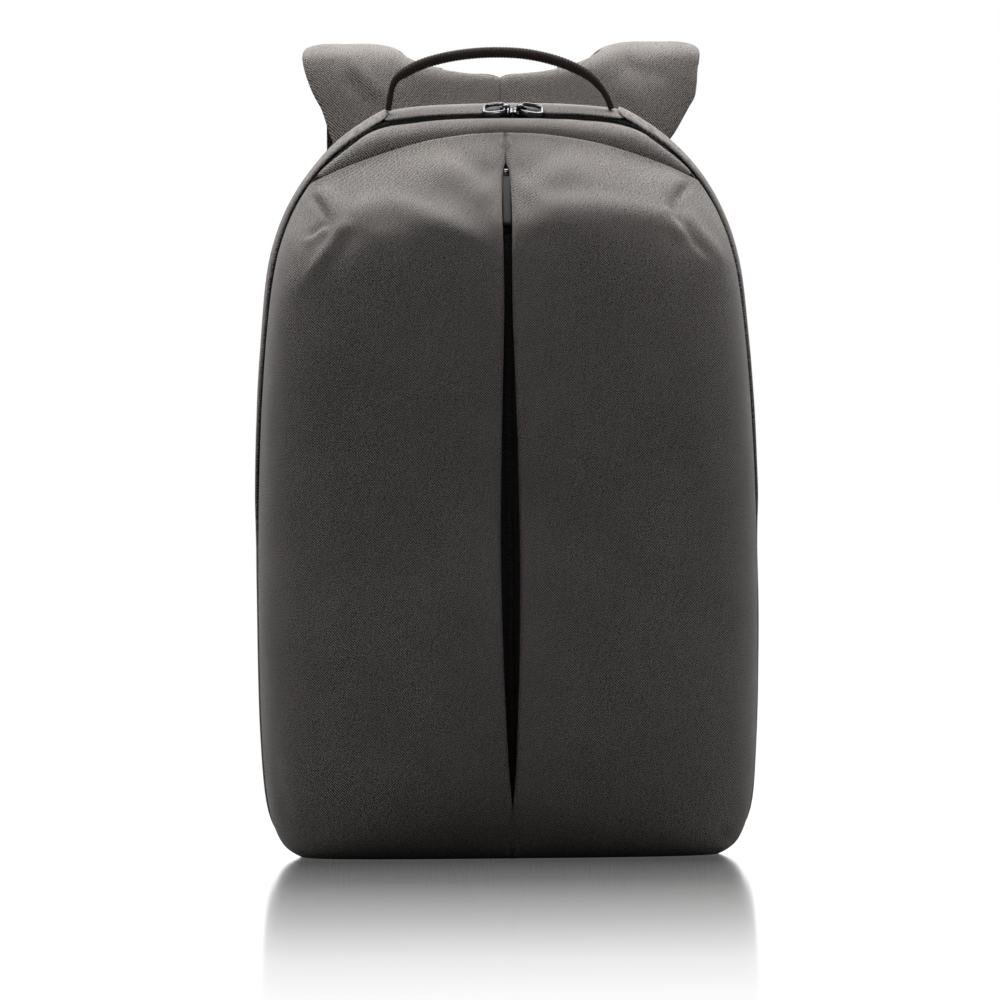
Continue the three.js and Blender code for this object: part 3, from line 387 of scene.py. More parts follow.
# Two-tone yarn in a fine slanting twill: slubs of light and dark yarn, twill lines, and soft patches
def melangeCloth(name, look):
    material, shader = newMaterial(
        name, look["mean"], look["roughness"], Sheen_Weight=look["sheen"], Sheen_Roughness=0.5,
        Specular_IOR_Level=0.25,
    )
    slubs = addNode(
        material, "TexNoise",
        {
            "Vector": mapped(material, (100 / look["yarn"], 100 / look["slub"], 1), look["slant"]),
            "Scale": 1.0, "Detail": 1.0,
        },
    )
    cross = addNode(
        material, "TexNoise",
        {
            "Vector": mapped(material, (100 / look["slub"], 100 / look["yarn"], 1), look["slant"] + 0.3),
            "Scale": 0.9, "Detail": 1.0,
        },
    )
    fine = addNode(
        material, "TexNoise",
        {"Vector": mapped(material, (1, 1, 1)), "Scale": 100 / look["speckle"], "Detail": 0.0},
    )
    lines = addNode(
        material, "TexWave",
        {
            "Vector": mapped(material, (1, 1, 1), look["slant"]), "Scale": 31.4 / look["twill"],
            "Distortion": 1.5, "Detail": 1.0, "Detail Scale": 2.0,
        },
        bands_direction="X",
    )
    patches = addNode(
        material, "TexNoise",
        {
            "Vector": mapped(material, (1, 1, 1), source="object"), "Scale": 1000 / look["patch"],
            "Detail": 3.0, "Roughness": 0.6,
        },
    )
    tone = calc(
        material, "MULTIPLY_ADD", slubs.outputs[0], look["slubContrast"], 0.5 - look["slubContrast"] / 2
    )
    tone = calc(
        material, "ADD", tone,
        calc(
            material, "MULTIPLY_ADD", cross.outputs[0], look["slubContrast"] * 0.6,
            -look["slubContrast"] * 0.3,
        ),
    )
    tone = calc(
        material, "ADD", tone,
        calc(
            material, "MULTIPLY_ADD", fine.outputs[0], look["speckleContrast"], -look["speckleContrast"] / 2
        ),
    )
    tone = calc(
        material, "ADD", tone,
        calc(material, "MULTIPLY_ADD", lines.outputs[0], look["twillContrast"], -look["twillContrast"] / 2),
    )
    ramp = addNode(material, "ValToRGB", {0: tone})
    ramp.color_ramp.elements[0].color = (*look["dark"], 1)
    ramp.color_ramp.elements[1].color = (*look["light"], 1)
    ramp.color_ramp.elements[0].position = 0.1
    ramp.color_ramp.elements[1].position = 0.9
    shade = addNode(material, "ValToRGB", {0: patches.outputs[0]})
    shade.color_ramp.elements[0].color = (*look["patchDark"], 1)
    shade.color_ramp.elements[1].color = (*look["patchLight"], 1)
    shade.color_ramp.elements[0].position = 0.3
    shade.color_ramp.elements[1].position = 0.7
    color = mixColour(material, 1.0, ramp.outputs[0], shade.outputs[0], "MULTIPLY")
    material.node_tree.links.new(color, shader.inputs["Base Color"])
    height = calc(material, "ADD", lines.outputs[0], slubs.outputs[0])
    setBump(material, shader, height, look["bump"], look["bumpDepth"] * mm)
    return material


# Tape and webbing: fine ribs across, yarns along, and a little fluff of tone
def wovenTape(name, look):
    material, shader = newMaterial(
        name, look["dark"], look["roughness"], Sheen_Weight=0.08, Specular_IOR_Level=0.3
    )
    ribs = addNode(
        material, "TexWave",
        {
            "Vector": mapped(material, (1, 1, 1)), "Scale": 31.4 / look["rib"], "Distortion": 0.4,
            "Detail": 0.0,
        },
        bands_direction="Y",
    )
    yarns = addNode(
        material, "TexWave",
        {
            "Vector": mapped(material, (1, 1, 1)), "Scale": 31.4 / look["yarn"], "Distortion": 0.4,
            "Detail": 0.0,
        },
        bands_direction="X",
    )
    weave = calc(material, "MULTIPLY", ribs.outputs[0], yarns.outputs[0])
    tone = addNode(
        material, "TexNoise", {"Vector": mapped(material, (30, 90, 1)), "Scale": 1.0, "Detail": 2.0}
    )
    mixed = calc(material, "MULTIPLY_ADD", tone.outputs[0], 0.6, calc(material, "MULTIPLY", weave, 0.5))
    ramp = addNode(material, "ValToRGB", {0: mixed})
    ramp.color_ramp.elements[0].color = (*look["dark"], 1)
    ramp.color_ramp.elements[1].color = (*look["light"], 1)
    material.node_tree.links.new(ramp.outputs[0], shader.inputs["Base Color"])
    setBump(material, shader, weave, 0.7, look["depth"] * mm)
    return material


# Spacer mesh: small open cells over a darker ground
def spacerMesh(name, look):
    material, shader = newMaterial(name, look["ground"], 0.85, Sheen_Weight=0.1, Specular_IOR_Level=0.3)
    cells = addNode(
        material, "TexVoronoi",
        {"Vector": mapped(material, (1, 1, 1)), "Scale": 100 / look["cell"], "Randomness": 0.25},
        feature="DISTANCE_TO_EDGE",
    )
    edge = addNode(material, "ValToRGB", {0: cells.outputs["Distance"]})
    edge.color_ramp.elements[0].color = (*look["yarn"], 1)
    edge.color_ramp.elements[1].color = (*look["ground"], 1)
    edge.color_ramp.elements[0].position = 0.08
    edge.color_ramp.elements[1].position = 0.28
    material.node_tree.links.new(edge.outputs[0], shader.inputs["Base Color"])
    setBump(
        material, shader, calc(material, "MULTIPLY", cells.outputs["Distance"], -1.0), 1.0,
        look["depth"] * mm,
    )
    return material


# Ribbed rope: slanting strands over a soft dark brown
def ropeYarn(name, look):
    material, shader = newMaterial(name, look["dark"], 0.8, Sheen_Weight=0.02, Specular_IOR_Level=0.2)
    strands = addNode(
        material, "TexWave",
        {
            "Vector": mapped(material, (1, 1, 1), look["slant"]), "Scale": 31.4 / look["strand"],
            "Distortion": 0.6, "Detail": 1.0,
        },
        bands_direction="X",
    )
    tone = addNode(
        material, "TexNoise", {"Vector": mapped(material, (60, 60, 1)), "Scale": 1.0, "Detail": 2.0}
    )
    mixed = calc(
        material, "MULTIPLY_ADD", tone.outputs[0], 0.5, calc(material, "MULTIPLY", strands.outputs[0], 0.6)
    )
    ramp = addNode(material, "ValToRGB", {0: mixed})
    ramp.color_ramp.elements[0].color = (*look["dark"], 1)
    ramp.color_ramp.elements[1].color = (*look["light"], 1)
    material.node_tree.links.new(ramp.outputs[0], shader.inputs["Base Color"])
    setBump(material, shader, strands.outputs[0], 0.6, 0.15 * mm)
    return material


# Plated metal and moulded plastic: a slight grain in tone, gloss and bump
def hardSurface(name, look):
    material, shader = newMaterial(name, look["color"], look["roughness"], Metallic=look["metallic"])
    grain = addNode(
        material, "TexNoise",
        {
            "Vector": mapped(material, (1, 1, 1), source="object"), "Scale": 1000 / look["grain"],
            "Detail": 3.0,
        },
    )
    worn = addNode(
        material, "TexNoise",
        {"Vector": mapped(material, (1, 1, 1), source="object"), "Scale": 1000 / 9.0, "Detail": 2.0},
    )
    spread = addNode(
        material, "MapRange", {0: worn.outputs[0], 3: look["roughness"] * 0.75, 4: look["roughness"] * 1.35}
    )
    material.node_tree.links.new(spread.outputs[0], shader.inputs["Roughness"])
    dim = [c * 0.8 for c in look["color"]]
    color = mixColour(material, grain.outputs[0], (*dim, 1), (*look["color"], 1))
    material.node_tree.links.new(color, shader.inputs["Base Color"])
    setBump(material, shader, grain.outputs[0], look["bump"], 0.05 * mm)
    return material


clothLook = {
    "mean": (0.16, 0.15, 0.145), "dark": (0.022, 0.020, 0.018), "light": (0.32, 0.30, 0.29),
    "roughness": 0.92, "sheen": 0.1, "slant": -0.75,
    "yarn": 0.55, "slub": 1.5, "speckle": 0.65, "twill": 1.15, "patch": 45,
    "slubContrast": 1.9, "speckleContrast": 1.7, "twillContrast": 0.9,
    "patchDark": (0.9, 0.89, 0.88), "patchLight": (1.06, 1.05, 1.02),
    "bump": 0.35, "bumpDepth": 0.2,
}
cloth = melangeCloth("grey_melange_twill", clothLook)
darkCloth = melangeCloth("dark_lining_cloth", {
    **clothLook, "mean": (0.03, 0.03, 0.03), "dark": (0.012, 0.012, 0.012), "light": (0.06, 0.06, 0.06),
})
tapeWeave = wovenTape(
    "black_woven_tape",
    {
        "dark": (0.006, 0.006, 0.007), "light": (0.045, 0.044, 0.045), "roughness": 0.8, "rib": 1.1,
        "yarn": 0.8, "depth": 0.2,
    },
)
webbingWeave = wovenTape(
    "black_webbing",
    {
        "dark": (0.008, 0.008, 0.009), "light": (0.055, 0.054, 0.055), "roughness": 0.7, "rib": 2.2,
        "yarn": 1.3, "depth": 0.4,
    },
)
liningMesh = spacerMesh(
    "black_spacer_mesh",
    {"ground": (0.008, 0.008, 0.009), "yarn": (0.06, 0.06, 0.062), "cell": 2.4, "depth": 0.5},
)
backMesh = spacerMesh(
    "black_back_mesh",
    {"ground": (0.012, 0.012, 0.013), "yarn": (0.075, 0.074, 0.075), "cell": 3.2, "depth": 0.6},
)
ropeMaterial = ropeYarn(
    "dark_brown_rope",
    {"dark": (0.004, 0.003, 0.0025), "light": (0.026, 0.018, 0.015), "slant": 0.9, "strand": 1.1},
)
blackNickel = hardSurface(
    "black_nickel",
    {"color": (0.11, 0.11, 0.12), "roughness": 0.2, "metallic": 1.0, "grain": 3.0, "bump": 0.05},
)
zipPlastic = hardSurface(
    "black_coil",
    {"color": (0.03, 0.03, 0.032), "roughness": 0.38, "metallic": 0.0, "grain": 1.0, "bump": 0.1},
)
bucklePlastic = hardSurface(
    "black_moulded_plastic",
    {"color": (0.035, 0.035, 0.037), "roughness": 0.45, "metallic": 0.0, "grain": 0.8, "bump": 0.35},
)
print("materials ready")


# Camera, lights and floor
view = {
    "target": (-0.0042, -0.015, 0.2181), "distance": 6.5, "azimuth": -1.3, "height": 0.30,
    "lens": 380, "roll": -0.5,
}


def placeCamera():
    target = Vector(view["target"])
    angle = math.radians(view["azimuth"])
    reach = view["distance"]
    place = Vector((target.x + reach * math.sin(angle), target.y - reach * math.cos(angle), view["height"]))
    data = bpy.data.cameras.new("camera")
    data.lens = view["lens"]
    data.sensor_width = 36
    data.clip_end = 100
    camera = bpy.data.objects.new("camera", data)
    bpy.context.scene.collection.objects.link(camera)
    turn = (target - place).to_track_quat("-Z", "Y").to_matrix()
    roll = Matrix.Rotation(math.radians(view["roll"]), 3, "Z")
    camera.matrix_world = Matrix.Translation(place) @ (turn @ roll).to_4x4()
    bpy.context.scene.camera = camera


# name, place, aim, size, power in watts, spread in degrees
lamps = [
    ("softbox_above", (0.0, 0.22, 1.2), (0, 0.12, 0.4), (1.3, 0.45), 21, 180),
    ("top_beam", (-0.15, -1.0, 1.40), (0, 0.03, 0.52), (0.7, 0.1), 0.33, 22),
    ("strip_left", (-1.3, 0.75, 0.7), (-0.1, 0, 0.25), (0.3, 1.3), 1, 180),
    ("strip_right", (1.3, 0.75, 0.7), (0.1, 0, 0.25), (0.3, 1.3), 1, 180),
    ("front_fill", (-0.3, -2.8, 1.3), (0, 0, 0.25), (1.6, 1.2), 1.5, 180),
]


def placeLamps():
    for name, place, aim, size, power, spread in lamps:
        data = bpy.data.lights.new(name, "AREA")
        data.shape = "RECTANGLE"
        data.size, data.size_y = size
        data.energy = power
        data.spread = math.radians(spread)
        obj = bpy.data.objects.new(name, data)
        bpy.context.scene.collection.objects.link(obj)
        obj.location = place
        obj.rotation_euler = (Vector(aim) - Vector(place)).to_track_quat("-Z", "Y").to_euler()


# A studio with a white wall behind the bag, dim in front, and a plain white background to look at
studio = {"front": 0.07, "side": 0.40, "behind": 1.25, "seen": 1.0}


def placeWorld():
    world = bpy.data.worlds.new("studio")
    bpy.context.scene.world = world
    world.use_nodes = True
    tree = world.node_tree
    shine = tree.nodes["Background"]
    where = tree.nodes.new("ShaderNodeTexCoord")
    split = tree.nodes.new("ShaderNodeSeparateXYZ")
    ramp = tree.nodes.new("ShaderNodeValToRGB")
    spread = tree.nodes.new("ShaderNodeMapRange")
    tree.links.new(where.outputs["Generated"], split.inputs[0])
    tree.links.new(split.outputs["Y"], spread.inputs[0])
    spread.inputs[1].default_value, spread.inputs[2].default_value = -1, 1
    tree.links.new(spread.outputs[0], ramp.inputs[0])
    stops = ramp.color_ramp.elements
    stops[0].position, stops[0].color = 0.4, (studio["front"],) * 3 + (1,)
    stops[1].position, stops[1].color = 0.97, (studio["behind"],) * 3 + (1,)
    middle = stops.new(0.72)
    middle.color = (studio["side"],) * 3 + (1,)
    tree.links.new(ramp.outputs[0], shine.inputs["Color"])
    plain = tree.nodes.new("ShaderNodeBackground")
    plain.inputs["Color"].default_value = (studio["seen"],) * 3 + (1,)
    seen = tree.nodes.new("ShaderNodeLightPath")
    choose = tree.nodes.new("ShaderNodeMixShader")
    tree.links.new(seen.outputs["Is Camera Ray"], choose.inputs[0])
    tree.links.new(shine.outputs[0], choose.inputs[1])
    tree.links.new(plain.outputs[0], choose.inputs[2])
    tree.links.new(choose.outputs[0], tree.nodes["World Output"].inputs["Surface"])


# How strong the floor's reflection is, by metres from the bag towards the camera
floorFade = [
    (-1.9, 0.03), (-1.47, 0.06), (-1.17, 0.19), (-0.79, 0.52), (-0.34, 0.84), (-0.1, 0.93), (0.05, 0.9),
    (0.25, 0.0),
]


def makeFloor():
    deselectAll()
    bpy.ops.mesh.primitive_plane_add(size=30, location=(0, 0, -0.0004))
    floor = bpy.context.object
    floor.name = floor.data.name = "floor"
    material, shader = newMaterial("pale_floor", (0.5, 0.5, 0.5), 0.12)
    where = addNode(material, "TexCoord").outputs["Object"]
    depth = addNode(material, "SeparateXYZ", {0: where}).outputs["Y"]
    place = addNode(material, "MapRange", {0: depth, 1: floorFade[0][0], 2: floorFade[-1][0]})
    fade = addNode(material, "ValToRGB", {0: place.outputs[0]})
    stops = fade.color_ramp.elements
    for y, share in floorFade:
        at = (y - floorFade[0][0]) / (floorFade[-1][0] - floorFade[0][0])
        stop = stops[0] if at == 0 else stops[-1] if at == 1 else stops.new(at)
        stop.color = (share, share, share, 1)
    plain = addNode(material, "Emission", {"Color": (1, 1, 1, 1), "Strength": 1.02})
    gloss = addNode(material, "BsdfGlossy", {"Color": (1, 1, 1, 1), "Roughness": 0.1})
    seen = addNode(material, "MixShader", {0: fade.outputs[0], 1: plain.outputs[0], 2: gloss.outputs[0]})
    ray = addNode(material, "LightPath")
    choice = {0: ray.outputs["Is Camera Ray"], 1: shader.outputs[0], 2: seen.outputs[0]}
    both = addNode(material, "MixShader", choice)
    surface = material.node_tree.nodes["Material Output"].inputs["Surface"]
    material.node_tree.links.new(both.outputs[0], surface)
    floor.data.materials.append(material)


placeCamera()
placeLamps()
placeWorld()
makeFloor()
bpy.context.scene.view_settings.view_transform = "Standard"
print("camera, lights and floor ready")


# The two halves of the front. A fold is: its line of (x, z) points seen from the front, width, push, and how
# much of it fades out at its start and at its end. Lengths are in mm.
frontFolds = {
    "levels": 3,
    "turnIn": 3.2, "turnInWidth": 21,  # how far the cloth sinks in towards the pleat
    "swell": 1.1, "swellSize": 75,
    "ripple": 0.28, "rippleSize": 22,
    "close": 1.15, "closeWidth": 7,  # how far the halves draw together above the slit
    "groove": 1.4, "grooveWidth": 1.5,  # of the seam there
    "folds": [
        ([(-127, 419), (-122, 412), (-112, 397), (-107, 385)], 2.3, -3.4, (0, 0.3)),
        ([(-118, 421), (-112, 408), (-103, 396), (-97, 388)], 7.0, 2.2, (0, 0.4)),
        ([(-109, 391), (-116, 385), (-124, 379)], 2.4, -1.9, (0.2, 0.3)),
        ([(-110, 387), (-117, 381), (-125, 375)], 2.6, 1.2, (0.2, 0.3)),
        ([(-95, 393), (-106, 377), (-120, 357), (-127, 345)], 4.0, 3.0, (0.2, 0.4)),
        ([(-89, 386), (-100, 371), (-112, 355)], 8.0, -1.2, (0.2, 0.4)),
        ([(-100, 392), (-76, 400), (-61, 397), (-36, 385), (-5, 368)], 8.0, 2.6, (0.15, 0.25)),
        ([(-88, 378), (-72, 385), (-52, 381), (-20, 366)], 12.0, -1.1, (0.25, 0.3)),
        ([(-8, 398), (-26, 412), (-50, 428)], 9.0, 1.8, (0.2, 0.35)),
        ([(-5, 414), (-20, 424), (-40, 436)], 7.0, -1.2, (0.2, 0.35)),
        ([(124, 419), (117, 416), (107, 405), (103, 398)], 2.3, -3.4, (0, 0.3)),
        ([(112, 424), (104, 414), (97, 402)], 8.0, 2.2, (0, 0.4)),
        ([(102, 406), (103, 392), (115, 376), (131, 357)], 3.4, -2.8, (0.2, 0.4)),
        ([(108, 397), (111, 386), (124, 370), (139, 352)], 6.0, 2.4, (0.2, 0.4)),
        ([(99, 398), (101, 386), (111, 373)], 5.0, 2.0, (0.2, 0.4)),
        ([(10, 372), (24, 397), (53, 398), (88, 392), (103, 389)], 8.0, 2.5, (0.3, 0.15)),
        ([(20, 370), (36, 383), (64, 384), (92, 377)], 12.0, -1.0, (0.3, 0.3)),
        ([(8, 400), (26, 414), (52, 428)], 9.0, 1.8, (0.2, 0.35)),
        ([(5, 414), (20, 424), (42, 436)], 7.0, -1.2, (0.2, 0.35)),
        ([(-148, 74), (-145, 56), (-141, 40), (-133, 24)], 4.0, -1.4, (0.3, 0.2)),
        ([(124, 22), (131, 12), (138, 6)], 3.5, -2.6, (0.3, 0)),
        ([(-40, 300), (-60, 220), (-66, 130)], 26.0, 1.0, (0.4, 0.4)),
        ([(52, 330), (70, 240), (62, 130)], 26.0, 1.0, (0.4, 0.4)),
        ([(-120, 330), (-126, 240), (-120, 150)], 16.0, -1.1, (0.4, 0.4)),
        ([(128, 330), (132, 240), (124, 150)], 16.0, -1.1, (0.4, 0.4)),
        ([(-14, 60), (-40, 40), (-80, 22)], 9.0, -1.1, (0.2, 0.4)),
        ([(16, 60), (44, 42), (84, 22)], 9.0, -1.1, (0.2, 0.4)),
    ],
}


def makeFront(side, sign):
    obj = copyOfNode("front_panel_" + side, "front_cloth_" + side)
    roundUp(obj, frontFolds["levels"])
    co = readPoints(obj)
    out = wayOut(obj, lambda p: np.stack([
        sign * np.minimum(np.abs(p[:, 0]), 0.09), np.zeros(len(p)), np.minimum(p[:, 2], 0.37),
    ], 1))
    flat = co[:, [0, 2]]
    push = sum(foldPush(flat, fold) for fold in frontFolds["folds"])
    front = smoothStep(-co[:, 1], 0.033, 0.048)
    loose = front * smoothStep(np.abs(co[:, 0]), 0.006, 0.03) * smoothStep(co[:, 2], 0.002, 0.03)
    push = push * front
    push += frontFolds["swell"] * mm * softNoise(co, frontFolds["swellSize"], 3) * loose
    push += frontFolds["ripple"] * mm * softNoise(co, frontFolds["rippleSize"], 8) * loose
    co += out * push[:, None]
    x = co[:, 0] / mm
    near = np.exp(-((x / frontFolds["turnInWidth"]) ** 2))
    co[:, 1] += frontFolds["turnIn"] * mm * near * riseAndFall(co[:, 2], (0.02, 0.1), (0.36, 0.42))
    close = np.exp(-((x / frontFolds["closeWidth"]) ** 2)) * riseAndFall(
        co[:, 2], (0.419, 0.426), (0.4335, 0.4355)
    )
    co[:, 0] -= sign * frontFolds["close"] * mm * close
    groove = np.exp(-((co[:, 0] / mm / frontFolds["grooveWidth"]) ** 2))
    co[:, 1] += frontFolds["groove"] * mm * groove * smoothStep(co[:, 2], 0.420, 0.427) * front
    co[:, 2] = np.maximum(co[:, 2], 0)
    writePoints(obj, co)
    wrap = smoothStep(np.abs(co[:, 0]), 0.135, 0.155) * (co[:, 1] + 0.09) * sign
    slope = smoothStep(co[:, 2], 0.36, 0.41) * (co[:, 1] + 0.11) * 0.7
    layMap(obj, co[:, 0] + wrap, co[:, 2] + slope)
    smoothShade(obj, 60)
    return finishPiece(obj, "bag", "cloth", cloth, "front_panel_" + side)


makeFront("left", -1)
makeFront("right", 1)
print("front panels ready")

# Gussets, roll, base and the small cloth pieces
# node, name, rounding, ripple and its size in mm, material, slot
softPieces = [
    ("top_roll", "top_roll_cloth", 3, 0.35, 14, cloth, "cloth"),
    ("side_gusset_left", "side_gusset_cloth_left", 2, 0.5, 40, cloth, "cloth"),
    ("side_gusset_right", "side_gusset_cloth_right", 2, 0.5, 40, cloth, "cloth"),
    ("top_gusset", "top_gusset_cloth", 2, 0.25, 25, cloth, "cloth"),
    ("base_panel", "base_cloth", 2, 0.0, 30, darkCloth, "dark_cloth"),
    ("strap_anchor_left", "strap_anchor_cloth_left", 3, 0.15, 12, cloth, "cloth"),
    ("strap_anchor_right", "strap_anchor_cloth_right", 3, 0.15, 12, cloth, "cloth"),
]


zipPoints, _, zipAcross, zipOut = stripLine("main_zip_chain", 2 * mm)
zipAcross[zipAcross[:, 1] < 0] *= -1
zipTree = kdtree.KDTree(len(zipPoints))
for i, point in enumerate(zipPoints):
    zipTree.insert(point, i)
zipTree.balance()
zipCover = {
    "ledge": 4.2, "sides": 1.2, "roll": 1.6, "lift": 0.45,
    "slider": 5.5, "sliderRoom": 9,  # where the sliders are, and how much they leave open
    "sitBack": 1.6,  # of the side gussets behind the front's edge below the zip
}


# Draws a cloth edge over the zip tape: the ledge from behind, the roll from in front
def coverZip(co, rear):
    room = zipCover["sliderRoom"]
    for k, p in enumerate(co):
        i = zipTree.find(p)[1]
        away = (p - zipPoints[i]) @ zipAcross[i]
        clear = smoothStep(abs(p[0] / mm - zipCover["slider"]), room, room + 6)
        if rear:
            top = smoothStep(140 - abs(p[0]) / mm, 0, 60)
            reach = zipCover["sides"] + (zipCover["ledge"] - zipCover["sides"]) * top
            reach *= 0.25 + 0.75 * clear
            share = 1 - smoothStep(away / mm, 4, 10)
            co[k] += (zipOut[i] * zipCover["lift"] - zipAcross[i] * reach) * share * mm
        elif p[2] > 0.44:
            share = smoothStep(away / mm, -8, -5.4) * clear
            co[k] += zipAcross[i] * zipCover["roll"] * share * mm


def makeSoftPiece(node, name, levels, ripple, size, material, slot):
    obj = copyOfNode(node, name)
    if node == "base_panel" or node.startswith("strap_anchor"):
        modifier = obj.modifiers.new("edges", "BEVEL")
        modifier.width = 0.8 * mm
        modifier.segments = 3
        applyModifiers(obj)
    else:
        roundUp(obj, levels)
    co = readPoints(obj)
    if ripple:
        out = wayOut(obj, lambda p: np.stack([p[:, 0] * 0.6, p[:, 1], np.minimum(p[:, 2], 0.38)], 1))
        co += out * (ripple * mm * softNoise(co, size, 5))[:, None]
        co[:, 2] = np.maximum(co[:, 2], 0)
        if "gusset" in node or node == "top_roll":
            coverZip(co, "gusset" in node)
        if node.startswith("side"):
            low = (1 - smoothStep(co[:, 2], 0.185, 0.225)) * (1 - smoothStep(co[:, 1], -0.02, 0.035))
            co[:, 0] -= np.sign(co[:, 0]) * zipCover["sitBack"] * mm * low
        writePoints(obj, co)
    if node.startswith("side"):
        layMap(obj, co[:, 1], co[:, 2] + np.abs(co[:, 0]) * smoothStep(co[:, 2], 0.38, 0.44))
    else:
        layMap(obj, co[:, 0], co[:, 1] + co[:, 2])
    smoothShade(obj, 60)
    return finishPiece(obj, "bag", slot, material, node)


for piece in softPieces:
    makeSoftPiece(*piece)
deselectAll()
print("gussets, roll, base and anchors ready")

# Padded pieces
strapShape = {
    "levels": 3, "ripple": 0.6, "size": 26, "lean": 6.0,
    "seamRise": 1.7, "seamWidth": 7,  # of the neckline at the middle seam
    "drawFrom": 0.08, "drawIn": ((-1, 0.11, 0.08), (1, 0.07, 0.03)),  # side, share at the fold, more below it
    "folds": [
        ([(-64, 462), (-78, 474), (-92, 488), (-98, 500)], 6.0, 1.5, (0.3, 0.3)),
        ([(-74, 460), (-90, 472), (-102, 484)], 6.0, -1.3, (0.3, 0.3)),
        ([(-56, 474), (-66, 486), (-70, 496)], 5.0, -1.0, (0.3, 0.3)),
        ([(70, 492), (88, 484), (112, 480)], 6.0, -1.2, (0.3, 0.3)),
        ([(66, 476), (84, 468), (100, 456)], 7.0, 1.2, (0.3, 0.3)),
    ],
}


# The front of the harness leans back towards the fold, and its outer edges are drawn in
def leanBack(co):
    front = 1 - smoothStep(co[:, 1], 0.078, 0.092)
    co[:, 1] += strapShape["lean"] * mm * smoothStep(co[:, 2], 0.447, 0.494) * front
    low = 1 - smoothStep(co[:, 2], 0.462, 0.497)
    front = np.maximum(front, smoothStep(co[:, 2], 0.34, 0.42))
    for sign, high, more in strapShape["drawIn"]:
        over = np.maximum(sign * co[:, 0] - strapShape["drawFrom"], 0) * front
        co[:, 0] -= sign * over * (high + more * low)


def makeStrap(side, sign):
    obj = copyOfNode("shoulder_strap_" + side, "shoulder_strap_cloth_" + side)
    roundUp(obj, strapShape["levels"], seam=lambda p: abs(p[0]) < 0.5 * mm)
    co = readPoints(obj)
    normals = readNormals(obj)
    push = strapShape["ripple"] * mm * softNoise(co, strapShape["size"], 4 + sign)
    front = (1 - smoothStep(co[:, 1], 0.074, 0.084)) * smoothStep(co[:, 2], 0.44, 0.455)
    push += sum(foldPush(co[:, [0, 2]], fold) for fold in strapShape["folds"]) * front
    calm = smoothStep(np.abs(co[:, 0]), 0.0, 0.012)
    co += normals * (push * calm)[:, None]
    nearSeam = np.maximum(1 - np.abs(co[:, 0]) / mm / strapShape["seamWidth"], 0) ** 2
    co[:, 2] += strapShape["seamRise"] * mm * nearSeam * smoothStep(co[:, 2], 0.470, 0.482)
    leanBack(co)
    writePoints(obj, co)
    layMap(obj, co[:, 0], co[:, 2] + co[:, 1])
    smoothShade(obj, 60)
    return finishPiece(obj, "bag", "cloth", cloth, "shoulder_strap_" + side)


# A round tape along the edge of a strap, which shows as a thin dark line from in front
binding = {"radius": 1.7, "sides": 8, "step": 2.0, "inset": 1.2}


def tubeAlong(name, points, radius, sides):
    points = np.array(points)
    along = np.gradient(points, axis=0)
    along /= np.linalg.norm(along, axis=1)[:, None]
    up = np.cross(along[0], (1, 0, 0))
    rings, u, v = [], [], []
    run = runOf(points)
    for i, point in enumerate(points):
        up = up - (up @ along[i]) * along[i]
        up /= np.linalg.norm(up)
        side = np.cross(along[i], up)
        angles = [2 * math.pi * k / sides for k in range(sides)]
        rings.append([point + (up * math.cos(a) + side * math.sin(a)) * radius for a in angles])
        u += [a * radius for a in angles]
        v += [run[i]] * sides
    return tubeThrough(name, rings, u, v)


def smoothLine(points, step):
    fine = np.array([p for p, i, t in splineThrough(np.array(points), 16)])
    run = runOf(fine)
    places = np.arange(0, run[-1], step)
    return np.stack([np.interp(places, run, fine[:, k]) for k in range(3)], 1)


def makeBindings(side, sign):
    rings = ringsOf("shoulder_strap_" + side, 12, axis=1, flatCap=False)
    for edge, turn in (("outer", 1), ("inner", -1)):
        line = []
        for ring in rings:
            order = np.argsort(ring[:, 0] * sign * turn)
            middle = ring[order[-2:]].mean(0)
            middle[0] -= sign * turn * binding["inset"] * mm
            line.append(middle)
        line = np.array(line)
        if edge == "inner":
            line = line[np.abs(line[:, 0]) > 0.03]
        leanBack(line)
        line = smoothLine(line, binding["step"] * mm)
        name = "strap_binding_%s_%s" % (edge, side)
        tube = tubeAlong(name, line, binding["radius"] * mm, binding["sides"])
        smoothShade(tube, 60)
        finishPiece(tube, "bag", "tape", tapeWeave)


def makeBackPanel():
    obj = copyOfNode("back_panel", "back_pad")
    modifier = obj.modifiers.new("split", "SUBSURF")
    modifier.subdivision_type = "SIMPLE"
    modifier.levels = modifier.render_levels = 2
    applyModifiers(obj)
    layMap(obj, readPoints(obj)[:, 0], readPoints(obj)[:, 2])
    smoothShade(obj, 60)
    return finishPiece(obj, "bag", "dark_cloth", backMesh, "back_panel")


makeStrap("left", -1)
makeStrap("right", 1)
makeBindings("left", -1)
makeBindings("right", 1)
makeBackPanel()
for side in ("left", "right"):
    lining = copyOfNode("strap_lining_" + side, "strap_lining_mesh_" + side)
    roundUp(lining, 2)
    co = readPoints(lining)
    leanBack(co)
    writePoints(lining, co)
    layMap(lining, co[:, 0], co[:, 2] + co[:, 1])
    smoothShade(lining, 60)
    finishPiece(lining, "bag", "mesh_lining", liningMesh, "strap_lining_" + side)
print("straps and back ready")

